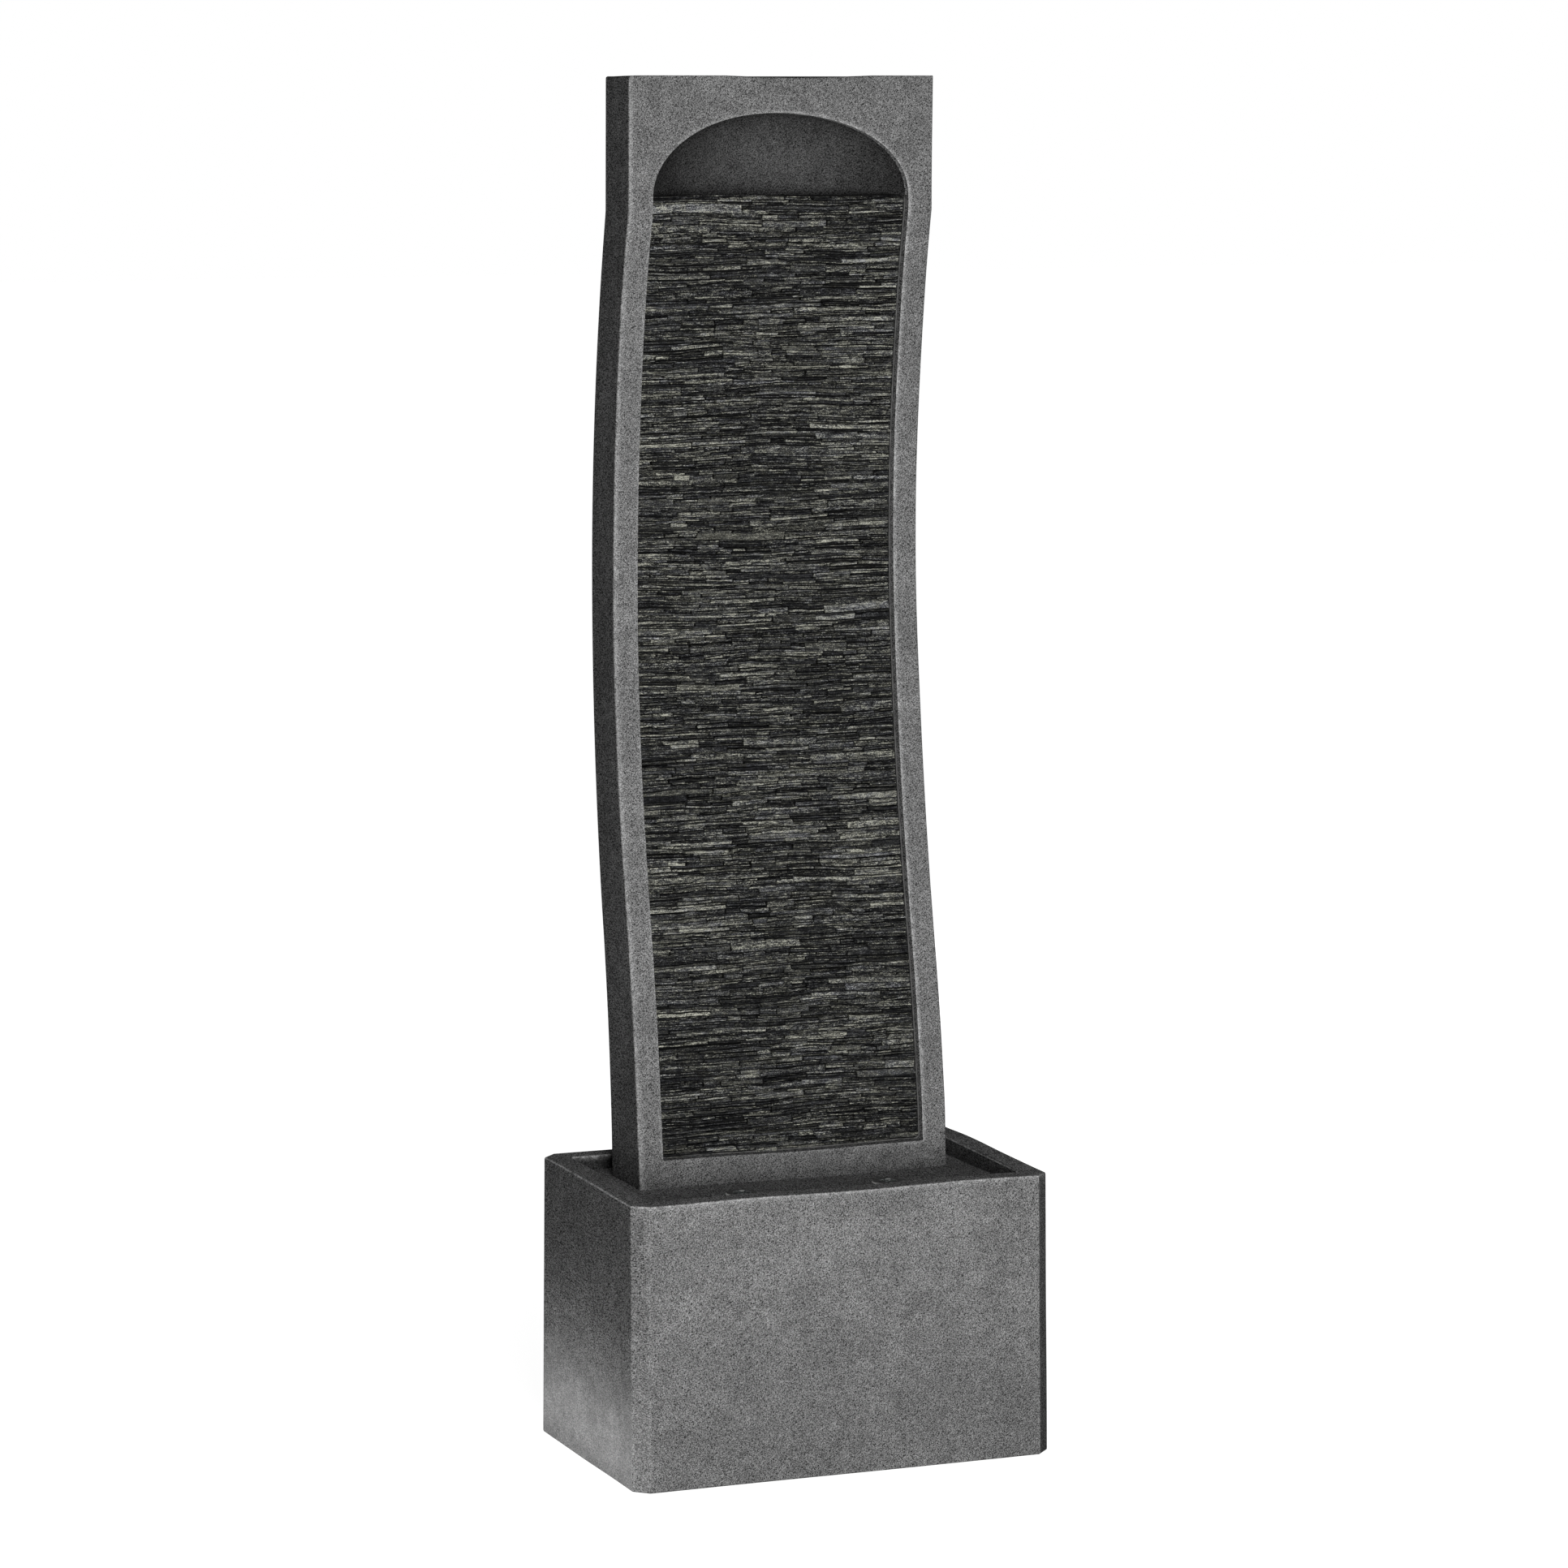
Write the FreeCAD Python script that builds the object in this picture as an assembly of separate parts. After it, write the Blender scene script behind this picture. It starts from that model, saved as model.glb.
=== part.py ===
import FreeCAD, Part
import math
import os

# Garden wall fountain: a bowed tower with a slate face stands in a deep basin.
# Millimetres. Origin on the ground under the basin's middle, +Z up, the slate faces -Y.
# A face of the tower is a curve y(z) in side view, and most pieces in the tower are
# layers between two such curves, a fixed distance behind or in front of them.

# Basin
basin_width = 595.0
basin_depth = 383.0
basin_height = 381.0
side_draft = 1.9
front_draft = 5.1
corner_cut = 19.0
basin_wall = 10.0
basin_floor = 12.0
rim_width = 33.0
edge_round = 3.0
ledge_width = 14.0
ledge_thickness = 10.0

# Deck inside the rim
deck_drop = 19.0
deck_thickness = 11.0
deck_gap = 0.3
gasket_thickness = 1.0
throat_half_width = 100.0
throat_front = 14.0
throat_back = 94.0
drain_slot_length = 62.0
drain_slot_width = 8.0
drain_slot_pitch = 84.0
drain_slot_count = 5
post_radius = 16.0
post_wall = 3.0
post_x = 150.0

# Tower
tower_base_half_width = 222.5
tower_top_half_width = 215.0
sill_height = 36.0
slate_height = 1274.0
header_height = 158.0
kink_below_spring = 20.0
shell_wall = 8.0
frame_border = 34.0
reveal_depth = 26.0
reveal_wall = 6.0
window_corner = 2.0
back_flange = 15.0
back_flange_thickness = 6.0
foot_share = 0.70

front_base_y = -7.0
front_base_lean = 5.9
front_deepest_y = 98.8
front_block_y = 45.0
front_upper_radius = 1640.0

back_base_y = 101.9
back_base_lean = 2.4
back_deepest_y = 185.3
back_block_y = 134.4
back_upper_radius = 2180.0

# Recess behind the arch
arch_rise = 109.0
niche_depth = 62.0
niche_wall = 6.0
niche_flange = 20.0
niche_flange_thickness = 4.0
shelf_thickness = 4.0
spill_slot_half_length = 90.0
spill_slot_width = 6.0

# Slate face
slate_recess = 12.0
slate_thickness = 14.0
slate_panel_count = 8
courses_per_panel = 8
course_steps = [0.0, 2.0, 0.8, 3.0, 1.4]
bead_width = 2.6
bead_depth = 4.0
backer_thickness = 6.0
backer_overlap = 12.0
fit_gap = 0.3

# Trough, spreader and riser
trough_half_length = 146.0
trough_depth = 46.0
trough_width = 34.0
trough_wall = 4.0
spreader_radius = 7.0
spreader_wall = 1.5
spreader_half_length = 118.0
spreader_hole_count = 9
spreader_hole_radius = 2.0
hose_radius = 9.0
hose_bore = 6.5
clip_width = 8.0
clip_thickness = 1.2

# Access door in the back cover
door_half_width = 110.0
door_low = 410.0
door_high = 590.0
door_gap = 1.5
door_rebate = 12.0
rebate_thickness = 4.0
seal_space = 2.0
seal_thickness = 1.6
hinge_x = 62.0
hinge_rise = 5.5
hinge_stand_off = 6.0
knuckle_radius = 4.5
knuckle_length = 14.0
pin_radius = 2.0
pin_clearance = 0.06
latch_above_low = 26.0
latch_shaft_radius = 4.0
latch_knob_radius = 14.0

# Supply inlet and drain in the basin's back wall
inlet_x = -180.0
inlet_below_ledge = 20.0
inlet_radius = 10.0
inlet_reach = 10.0
inlet_socket_radius = 4.0
inlet_socket_length = 20.0
drain_x = 200.0
drain_z = 38.0
drain_radius = 11.0
drain_clearance = 0.08
seat_depth = 6.0
seat_radius = 17.0

# Lamps in the deck
lamp_x = 105.0
lamp_y = -77.0
lamp_ring_radius = 22.0
lamp_ring_height = 3.0
lamp_lens_radius = 13.0
lamp_lens_height = 5.5
lamp_body_radius = 18.0
lamp_body_depth = 26.0
lamp_wall = 2.0

# Pump on the basin's floor
pump_y = 50.0
pump_half_width = 30.0
pump_height = 60.0
pump_foot = 6.0
pump_chamber_length = 20.0
pump_motor_length = 60.0
pump_cover_length = 24.0
pump_wall = 3.0
cover_wall = 2.5
rotor_radius = 10.0
rotor_length = 40.0
blade_radius = 16.0
blade_count = 6
shaft_radius = 1.5
running_clearance = 0.05
dial_radius = 12.0
lead_radius = 3.0
lamp_lead_radius = 2.25

# Fasteners
tower_bolt_radius = 4.0
tower_bolt_x = 190.0
tower_bolt_front = 22.0
tower_bolt_back = 78.0
cover_screw_radius = 2.0
cover_screw_count = 5
tie_screw_radius = 2.5
tie_eye_radius = 4.0

# Heights and widths that follow from the sizes above
deck_top = basin_height - deck_drop
deck_low = deck_top - deck_thickness
ledge_top = deck_low - gasket_thickness
ledge_low = ledge_top - ledge_thickness
rim_half_x = basin_width / 2 - side_draft
rim_half_y = basin_depth / 2 - front_draft
well_half_x = rim_half_x - rim_width
well_half_y = rim_half_y - rim_width
cavity_half_x = rim_half_x - basin_wall
cavity_half_y = rim_half_y - basin_wall
sill_top = deck_top + sill_height
spring_z = sill_top + slate_height
total_height = spring_z + header_height
kink_z = spring_z - kink_below_spring
slate_back = slate_recess + slate_thickness
backer_front = slate_back + fit_gap
backer_back = backer_front + backer_thickness
pump_low = basin_floor + pump_foot
pump_axis_z = pump_low + pump_height / 2
chamber_front = pump_y - pump_chamber_length / 2
chamber_back = pump_y + pump_chamber_length / 2
motor_back = chamber_back + pump_motor_length
cover_front = chamber_front - pump_cover_length
inlet_z = ledge_low - inlet_below_ledge

os.makedirs("parts", exist_ok=True)


# Small helpers


def at(x, y, z):
    return FreeCAD.Vector(x, y, z)


def box(low, high):
    size = [b - a for a, b in zip(low, high)]
    return Part.makeBox(*size, at(*low))


def rod(radius, start, end):
    """Solid cylinder from one point to another."""
    axis = at(*end) - at(*start)
    return Part.makeCylinder(radius, axis.Length, at(*start), axis)


def ring(radius, bore, start, end):
    """Tube between two points; the bore tool runs a little past both ends."""
    axis = at(*end) - at(*start)
    step = axis * (1.0 / axis.Length)
    hole = Part.makeCylinder(bore, axis.Length + 2, at(*start) - step, axis)
    return rod(radius, start, end).cut(hole)


def cone(radius_low, radius_high, start, end):
    axis = at(*end) - at(*start)
    return Part.makeCone(radius_low, radius_high, axis.Length, at(*start), axis)


def joined(shapes):
    whole = shapes[0]
    for shape in shapes[1:]:
        whole = whole.fuse(shape)
    return whole.removeSplitter()


def less(shape, tools):
    for tool in tools:
        shape = shape.cut(tool)
    return shape


def prism(points, direction):
    """Solid swept from a closed outline of straight sides."""
    corners = [at(*p) for p in points]
    face = Part.Face(Part.makePolygon(corners + corners[:1]))
    return face.extrude(at(*direction))


def rounded_edges(shape, radius, wanted):
    """Rounds the edges for which wanted(edge) is true."""
    edges = [edge for edge in shape.Edges if wanted(edge)]
    return shape.makeFillet(radius, edges)


def along_z(edge):
    box_of = edge.BoundBox
    return box_of.XLength < 0.01 and box_of.YLength < 0.01


def along_y(edge):
    box_of = edge.BoundBox
    return box_of.XLength < 0.01 and box_of.ZLength < 0.01


def save(name, pieces):
    """Writes one node: a solid, or a group of separate solids."""
    if not isinstance(pieces, list):
        pieces = [pieces]
    solids = [solid for piece in pieces for solid in piece.Solids]
    shape = solids[0] if len(solids) == 1 else Part.makeCompound(solids)
    if not all(solid.isValid() for solid in solids):
        print("not valid:", name)
    shape.exportStep("parts/" + name + ".step")
    volume = sum(solid.Volume for solid in solids)
    print(name, len(solids), "solids", round(volume / 1000.0, 2), "cm3")


# Curved faces of the tower


class BowedFace:
    """Side view of a tower face: a foot arc and a lower arc that bend opposite ways,
    an upper arc, then an upright block. The lean is the angle from upright."""

    def __init__(self, base_y, base_lean, deepest_y, block_y, upper_radius):
        self.deepest_y = deepest_y
        self.block_y = block_y
        self.upper_radius = upper_radius
        drop = upper_radius - (deepest_y - block_y)
        self.deepest_z = kink_z - math.sqrt(upper_radius**2 - drop**2)
        lean = math.radians(base_lean)
        rise = (deepest_y - base_y, self.deepest_z - deck_top)
        along = foot_share * (rise[0] * math.sin(lean) + rise[1] * math.cos(lean)) + rise[1]
        square = 2 * foot_share * (1 - math.cos(lean))
        length2 = rise[0] ** 2 + rise[1] ** 2
        tangent = (math.sqrt(along**2 + square * length2) - along) / square
        foot = foot_share * tangent
        knee = (base_y + foot * math.sin(lean), deck_top + foot * math.cos(lean))
        bend = (deepest_y, self.deepest_z - tangent)
        share = foot_share / (1 + foot_share)
        self.turn_z = knee[1] + (bend[1] - knee[1]) * share
        most_lean = math.atan2(bend[0] - knee[0], bend[1] - knee[1])
        self.lower_radius = tangent / math.tan(most_lean / 2)
        self.foot_radius = foot / math.tan((most_lean - lean) / 2)
        self.foot_y = base_y + self.foot_radius * math.cos(lean)
        self.foot_z = deck_top - self.foot_radius * math.sin(lean)

    def y(self, z):
        if z >= kink_z:
            return self.block_y
        if z < self.turn_z:
            return self.foot_y - math.sqrt(self.foot_radius**2 - (z - self.foot_z) ** 2)
        radius = self.upper_radius if z >= self.deepest_z else self.lower_radius
        return self.deepest_y - radius + math.sqrt(radius**2 - (z - self.deepest_z) ** 2)

    def lean(self, z):
        """Lean in degrees at height z."""
        return math.degrees(math.atan(self.y(z + 0.5) - self.y(z - 0.5)))

    def edges(self, shift, z_low, z_high):
        """Arcs and lines of the curve, moved back by shift, from z_low up to z_high."""
        inner = [self.turn_z, self.deepest_z, kink_z]
        stops = [z_low] + [z for z in inner if z_low + 0.01 < z < z_high - 0.01] + [z_high]
        run = []
        for low, high in zip(stops, stops[1:]):
            first = at(0, self.y(low) + shift, low)
            last = at(0, self.y(high) + shift, high)
            if low >= kink_z - 0.01:
                run.append(Part.LineSegment(first, last).toShape())
                continue
            if high >= kink_z - 0.01:
                last = at(0, self.block_y + shift, high)
            middle = at(0, self.y((low + high) / 2) + shift, (low + high) / 2)
            run.append(Part.Arc(first, middle, last).toShape())
        return run


front = BowedFace(
    front_base_y, front_base_lean, front_deepest_y, front_block_y, front_upper_radius
)
back = BowedFace(
    back_base_y, back_base_lean, back_deepest_y, back_block_y, back_upper_radius
)


def half_width(z):
    """Half the tower's width at height z."""
    share = (z - deck_top) / (total_height - deck_top)
    return tower_base_half_width + (tower_top_half_width - tower_base_half_width) * share


def layer(face_a, shift_a, face_b, shift_b, z_low, z_high, inset=0.0):
    """The tower's width between two curves, its sides set in by inset."""
    front_run = face_a.edges(shift_a, z_low, z_high)
    back_run = face_b.edges(shift_b, z_low, z_high)
    top = Part.LineSegment(
        at(0, face_a.y(z_high) + shift_a, z_high), at(0, face_b.y(z_high) + shift_b, z_high)
    )
    bottom = Part.LineSegment(
        at(0, face_a.y(z_low) + shift_a, z_low), at(0, face_b.y(z_low) + shift_b, z_low)
    )
    edges = front_run + [top.toShape()] + back_run + [bottom.toShape()]
    return across_tower(edges).common(taper(inset, z_low - 1, z_high + 1))


def across_tower(edges):
    """Slab wider than the tower, from a closed side outline in the plane X = 0."""
    reach = tower_base_half_width + 20.0
    slab = Part.Face(Part.Wire(Part.__sortEdges__(edges))).extrude(at(2 * reach, 0, 0))
    slab.translate(at(-reach, 0, 0))
    return slab


def taper(inset, z_low, z_high):
    """Deep block with the tower's tapered sides, set in by inset."""
    low = half_width(z_low) - inset
    high = half_width(z_high) - inset
    corners = [(-low, -200, z_low), (low, -200, z_low), (high, -200, z_high), (-high, -200, z_high)]
    return prism(corners, (0, 600, 0))


def window(grow, z_high):
    """Deep block through the frame's opening, from the sill up to z_high."""
    z_low = sill_top - grow
    low = half_width(z_low) - frame_border + grow
    high = half_width(z_high) - frame_border + grow
    corners = [(-low, -200, z_low), (low, -200, z_low), (high, -200, z_high), (-high, -200, z_high)]
    block = prism(corners, (0, 600, 0))
    return rounded_edges(block, window_corner, lambda e: along_y(e) and e.BoundBox.ZMax < z_low + 1)


def arch_dome(grow):
    """Ellipsoid whose half behind the frame's face is the recess, larger by grow."""
    across = half_width(spring_z) - frame_border + grow
    ball = Part.makeSphere(1.0)
    stretch = FreeCAD.Matrix()
    stretch.scale(across, niche_depth + grow, arch_rise + grow)
    dome = ball.transformGeometry(stretch)
    dome.translate(at(0, front_block_y, spring_z))
    return dome


def on_back(shape, x, z):
    """Moves a shape built along +Y from the origin so that +Y points out of the back face."""
    shape = shape.copy()
    shape.rotate(at(0, 0, 0), at(1, 0, 0), -back.lean(z))
    shape.translate(at(x, back.y(z), z))
    return shape


# Hoses and leads


def rounded_path(points):
    """Straight runs joined by tangent arcs, each as large as its two runs allow."""
    corners = [at(*p) for p in points]
    edges = []
    radii = []
    start = corners[0]
    for before, corner, after in zip(corners, corners[1:], corners[2:]):
        into = (corner - before).normalize()
        out = (after - corner).normalize()
        turn = into.getAngle(out)
        trim = 0.45 * min((corner - before).Length, (after - corner).Length)
        first = corner - into * trim
        last = corner + out * trim
        radii.append(trim / math.tan(turn / 2))
        inward = (out - into).normalize()
        centre_gap = radii[-1] / math.cos(turn / 2) - radii[-1]
        middle = corner + inward * centre_gap
        edges.append(Part.LineSegment(start, first).toShape())
        edges.append(Part.Arc(first, middle, last).toShape())
        start = last
    edges.append(Part.LineSegment(start, corners[-1]).toShape())
    return Part.Wire(edges), min(radii)


def tube(name, points, radius, bore=0.0):
    """Round hose or lead along the points."""
    path, tightest = rounded_path(points)
    heading = at(*points[1]) - at(*points[0])

    def swept(size):
        circle = Part.makeCircle(size, at(*points[0]), heading)
        return path.makePipeShell([Part.Wire(circle)], True, False)

    solid = swept(radius)
    area = math.pi * radius**2
    if bore:
        solid = solid.cut(swept(bore))
        area -= math.pi * bore**2
    filled = round(solid.Volume / (area * path.Length), 3)
    print(name, "length", round(path.Length), "tightest radius", round(tightest, 1), "filled", filled)
    return solid


# Basin and deck


def cut_corner_outline(half_x, half_y, cut, z):
    near = half_x - cut
    deep = half_y - cut
    corners = [
        (near, -half_y), (half_x, -deep), (half_x, deep), (near, half_y),
        (-near, half_y), (-half_x, deep), (-half_x, -deep), (-near, -half_y),
    ]
    return [at(x, y, z) for x, y in corners]


def basin_shell():
    wires = []
    for half_x, half_y, z in [
        (basin_width / 2, basin_depth / 2, 0.0),
        (rim_half_x, rim_half_y, basin_height),
    ]:
        corners = cut_corner_outline(half_x, half_y, corner_cut, z)
        wires.append(Part.makePolygon(corners + corners[:1]))
    shell = Part.makeLoft(wires, True, True)
    shell = shell.makeFillet(edge_round, shell.Edges)
    inner = cut_corner_outline(cavity_half_x, cavity_half_y, corner_cut, basin_floor)
    cavity = Part.Face(Part.makePolygon(inner + inner[:1])).extrude(at(0, 0, ledge_low - basin_floor))
    well = box((-well_half_x, -well_half_y, ledge_top), (well_half_x, well_half_y, basin_height + 1))
    well = rounded_edges(well, edge_round * 2, along_z)
    neck_x = well_half_x - ledge_width
    neck_y = well_half_y - ledge_width
    neck = box((-neck_x, -neck_y, ledge_low - 1), (neck_x, neck_y, ledge_top + 1))
    shell = less(shell, [cavity, well, neck])

    def on_rim_inside(edge):
        span = edge.BoundBox
        flat = span.ZMin > basin_height - 0.01
        return flat and max(abs(span.XMin), abs(span.XMax)) < well_half_x + 0.1

    shell = rounded_edges(shell, edge_round, on_rim_inside)
    wall_y = basin_depth / 2 + 5
    inlet_hole = rod(inlet_radius + fit_gap, (inlet_x, 0, inlet_z), (inlet_x, wall_y, inlet_z))
    drain_hole = rod(drain_radius + drain_clearance, (drain_x, 0, drain_z), (drain_x, wall_y, drain_z))
    inlet_seat = rod(seat_radius, (inlet_x, wall_face(inlet_z), inlet_z), (inlet_x, wall_y, inlet_z))
    drain_seat = rod(seat_radius, (drain_x, wall_face(drain_z), drain_z), (drain_x, wall_y, drain_z))
    return less(shell, [inlet_hole, drain_hole, inlet_seat, drain_seat])


def wall_face(z):
    """Y of the flat seat sunk into the drafted back wall at height z."""
    return basin_depth / 2 - front_draft * z / basin_height - seat_depth


def slot_centres():
    middle = (drain_slot_count - 1) / 2
    return [(index - middle) * drain_slot_pitch for index in range(drain_slot_count)]


def slot_y():
    """Middle of the strip of deck behind the tower."""
    return (back_base_y + well_half_y) / 2 + 2


def bolt_places():
    return [(x, y) for x in (-tower_bolt_x, tower_bolt_x) for y in (tower_bolt_front, tower_bolt_back)]


def deck_tray():
    half_x = well_half_x - deck_gap
    half_y = well_half_y - deck_gap
    plate = box((-half_x, -half_y, deck_low), (half_x, half_y, deck_top))
    plate = rounded_edges(plate, edge_round * 2, along_z)
    cuts = [box((-throat_half_width, throat_front, 0), (throat_half_width, throat_back, 999))]
    for side in (-1, 1):
        x = side * lamp_x
        cuts.append(rod(lamp_body_radius + fit_gap, (x, lamp_y, 0), (x, lamp_y, 999)))
    for x in slot_centres():
        half = drain_slot_length / 2
        width = drain_slot_width / 2
        slot = box((x - half, slot_y() - width, 0), (x + half, slot_y() + width, 999))
        cuts.append(rounded_edges(slot, width - 0.2, along_z))
    for x, y in bolt_places():
        cuts.append(rod(tower_bolt_radius + 0.5, (x, y, 0), (x, y, 999)))
    return less(plate, cuts)


def deck_gasket():
    outer_x = well_half_x - deck_gap
    outer_y = well_half_y - deck_gap
    inner_x = outer_x - ledge_width + 2
    inner_y = outer_y - ledge_width + 2
    plate = box((-outer_x, -outer_y, ledge_top), (outer_x, outer_y, deck_low))
    plate = rounded_edges(plate, edge_round * 2, along_z)
    return plate.cut(box((-inner_x, -inner_y, 0), (inner_x, inner_y, 999)))


def deck_posts():
    posts = []
    for x in (-post_x, post_x):
        for y in (tower_bolt_front, tower_bolt_back):
            post = ring(post_radius, post_radius - post_wall, (x, y, basin_floor), (x, y, deck_low))
            window_cut = box((x - 6, y - 40, basin_floor + 20), (x + 6, y + 40, basin_floor + 60))
            posts.append(post.cut(window_cut))
    return posts


def drain_bung():
    wall = wall_face(drain_z)
    shank = rod(drain_radius, (drain_x, cavity_half_y - 4, drain_z), (drain_x, wall, drain_z))
    head = rod(seat_radius - 2, (drain_x, wall, drain_z), (drain_x, wall + 3, drain_z))
    grip = box((drain_x - 2, wall + 3, drain_z - 12), (drain_x + 2, wall + seat_depth, drain_z + 12))
    return joined([shank, head, grip])


# Supply inlet


def inlet_box():
    """Sealed box inside the wall, its barrel through the wall and a round socket in the barrel."""
    inside = cavity_half_y
    wall = wall_face(inlet_z)
    end = wall + inlet_reach
    low = (inlet_x - 32, inside - 30, inlet_z - 15)
    high = (inlet_x + 32, inside - seal_thickness, inlet_z + 15)
    body = rounded_edges(box(low, high), 3.0, along_y)
    barrel = rod(inlet_radius, (inlet_x, inside - 2, inlet_z), (inlet_x, end, inlet_z))
    moat = ring(inlet_radius - 1.5, inlet_socket_radius + 2.0, (inlet_x, end - 8, inlet_z),
                (inlet_x, end + 1, inlet_z))
    blind_end = (inlet_x, end - inlet_socket_length, inlet_z)
    socket = rod(inlet_socket_radius, blind_end, (inlet_x, end + 1, inlet_z))
    entries = []
    for x in lead_entries():
        entries.append(rod(5.5, (x, inside - 15, inlet_z - 21), (x, inside - 15, inlet_z - 14)))
    return less(joined([body, barrel] + entries), [moat, socket])


def inlet_nut():
    wall = wall_face(inlet_z)
    start = (inlet_x, wall, inlet_z)
    nut = ring(seat_radius - 1.5, inlet_radius + 0.2, start, (inlet_x, wall + 5, inlet_z))
    for step in range(12):
        angle = math.radians(30 * step)
        x = inlet_x + seat_radius * math.cos(angle)
        z = inlet_z + seat_radius * math.sin(angle)
        nut = nut.cut(rod(3.0, (x, wall - 1, z), (x, wall + 6, z)))
    return nut


def inlet_gasket():
    start = (inlet_x, cavity_half_y - seal_thickness, inlet_z)
    return ring(seat_radius - 1.5, inlet_radius + 0.2, start, (inlet_x, cavity_half_y, inlet_z))


def lead_entries():
    return [inlet_x - 20, inlet_x, inlet_x + 20]


def entry_point(index):
    return (lead_entries()[index], cavity_half_y - 15, inlet_z - 21)


# Lamps


def lamp_parts(side):
    x = side * lamp_x
    top = deck_top + lamp_ring_height
    seat = (x, lamp_y, deck_top + gasket_thickness)
    seal = ring(lamp_ring_radius - 1.5, lamp_body_radius + fit_gap, (x, lamp_y, deck_top), seat)
    crown = cone(lamp_ring_radius, lamp_ring_radius - 2.0, seat, (x, lamp_y, top))
    bezel = crown.cut(rod(lamp_lens_radius + 0.1, (x, lamp_y, 0), (x, lamp_y, top + 1)))
    bezel = bezel.cut(rod(lamp_body_radius, (x, lamp_y, 0), (x, lamp_y, deck_top + 1.6)))
    dome_radius = (lamp_lens_radius**2 + 2.5**2) / (2 * 2.5)
    apex = deck_top + lamp_lens_height
    dome = Part.makeSphere(dome_radius, at(x, lamp_y, apex - dome_radius))
    lens = dome.common(rod(lamp_lens_radius, (x, lamp_y, deck_top - 3), (x, lamp_y, apex + 1)))
    hollow = rod(lamp_lens_radius - 2.5, (x, lamp_y, deck_top - 4), (x, lamp_y, deck_top + 1.5))
    lens = lens.cut(hollow)
    bottom = deck_top - lamp_body_depth
    body = rod(lamp_body_radius, (x, lamp_y, bottom), (x, lamp_y, deck_top + 1.6))
    bore = rod(lamp_body_radius - lamp_wall, (x, lamp_y, bottom + 3), (x, lamp_y, deck_top - 3.0))
    mouth = rod(lamp_lens_radius, (x, lamp_y, bottom + 4), (x, lamp_y, deck_top + 2))
    collar_top = (x, lamp_y, deck_low)
    collar = ring(lamp_body_radius + 5, lamp_body_radius, (x, lamp_y, deck_low - 6), collar_top)
    gland = ring(5.0, lamp_lead_radius, (x, lamp_y, bottom - 8), (x, lamp_y, bottom))
    body = joined([less(body, [bore, mouth]), collar, gland])
    board_radius = lamp_body_radius - lamp_wall - 0.5
    board_low = (x, lamp_y, deck_top - 16)
    board = rod(board_radius, board_low, (x, lamp_y, deck_top - 14.4))
    emitter = box((x - 3, lamp_y - 3, deck_top - 14.4), (x + 3, lamp_y + 3, deck_top - 12.4))
    spacer = ring(board_radius, board_radius - 2.0, (x, lamp_y, bottom + 3), board_low)
    return seal, bezel, lens, body, joined([board, emitter, spacer])


# Pump


def pump_box(y_low, y_high, round_by=6.0):
    low = (-pump_half_width, y_low, pump_low)
    high = (pump_half_width, y_high, pump_low + pump_height)
    return rounded_edges(box(low, high), round_by, along_y)


def pump_body():
    """Motor housing, hollow, with a blind well for the rotor from the chamber side."""
    inner_low = (-pump_half_width + pump_wall, chamber_back + 4, pump_low + pump_wall)
    ceiling = pump_low + pump_height - pump_wall
    inner_high = (pump_half_width - pump_wall, motor_back - pump_wall, ceiling)
    hollow = rounded_edges(box(inner_low, inner_high), 4.0, along_y)
    well_end = chamber_back + rotor_length + 12
    well_skin = rod(rotor_radius + 2.6, (0, chamber_back, pump_axis_z), (0, well_end + 2, pump_axis_z))
    well_bore = rod(rotor_radius + 0.6, (0, chamber_back - 1, pump_axis_z), (0, well_end, pump_axis_z))
    gland_z = pump_axis_z + 14
    gland = ring(6.5, lead_radius + 0.1, (0, motor_back, gland_z), (0, motor_back + 10, gland_z))
    shell = pump_box(chamber_back, motor_back).cut(hollow)
    return joined([shell, well_skin, gland]).cut(well_bore)


def pump_core():
    """Two upright limbs beside the rotor well, joined by a yoke below it."""
    y_low = chamber_back + 12
    y_high = chamber_back + 42
    reach = rotor_radius + 2.6 + 0.3
    limbs = [box((side * 22 if side < 0 else reach, y_low, pump_low + 7),
                 (-reach if side < 0 else 22, y_high, pump_axis_z + 12)) for side in (-1, 1)]
    yoke = box((-22, y_low, pump_low + 7), (22, y_high, pump_low + 13))
    return joined(limbs + [yoke])


def pump_coil():
    y_low = chamber_back + 8
    y_high = chamber_back + 46
    block = box((-11, y_low, pump_low + 3.5), (11, y_high, pump_low + 16.5))
    return block.cut(box((-12, y_low + 3.8, pump_low + 6.8), (12, y_high - 3.8, pump_low + 13.2)))


def pump_chamber():
    """Front casting with the impeller chamber, inlet holes, front bush seat and outlet."""
    block = pump_box(chamber_front, chamber_back)
    room = rod(blade_radius + 2, (0, chamber_front + 5, pump_axis_z), (0, chamber_back + 1, pump_axis_z))
    block = block.cut(room)
    for step in range(6):
        angle = math.radians(60 * step + 30)
        x = 9 * math.cos(angle)
        z = pump_axis_z + 9 * math.sin(angle)
        block = block.cut(rod(2.6, (x, chamber_front - 1, z), (x, chamber_front + 6, z)))
    block = block.cut(rod(3.5, (0, chamber_front + 1, pump_axis_z), (0, chamber_front + 6, pump_axis_z)))
    top = pump_low + pump_height
    bore = rod(5.0, (0, pump_y + 1, pump_axis_z), (0, pump_y + 1, top + 1))
    seat = rod(8.0 + fit_gap, (0, pump_y, top - 8), (0, pump_y, top + 1))
    return less(block, [bore, seat])


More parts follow.
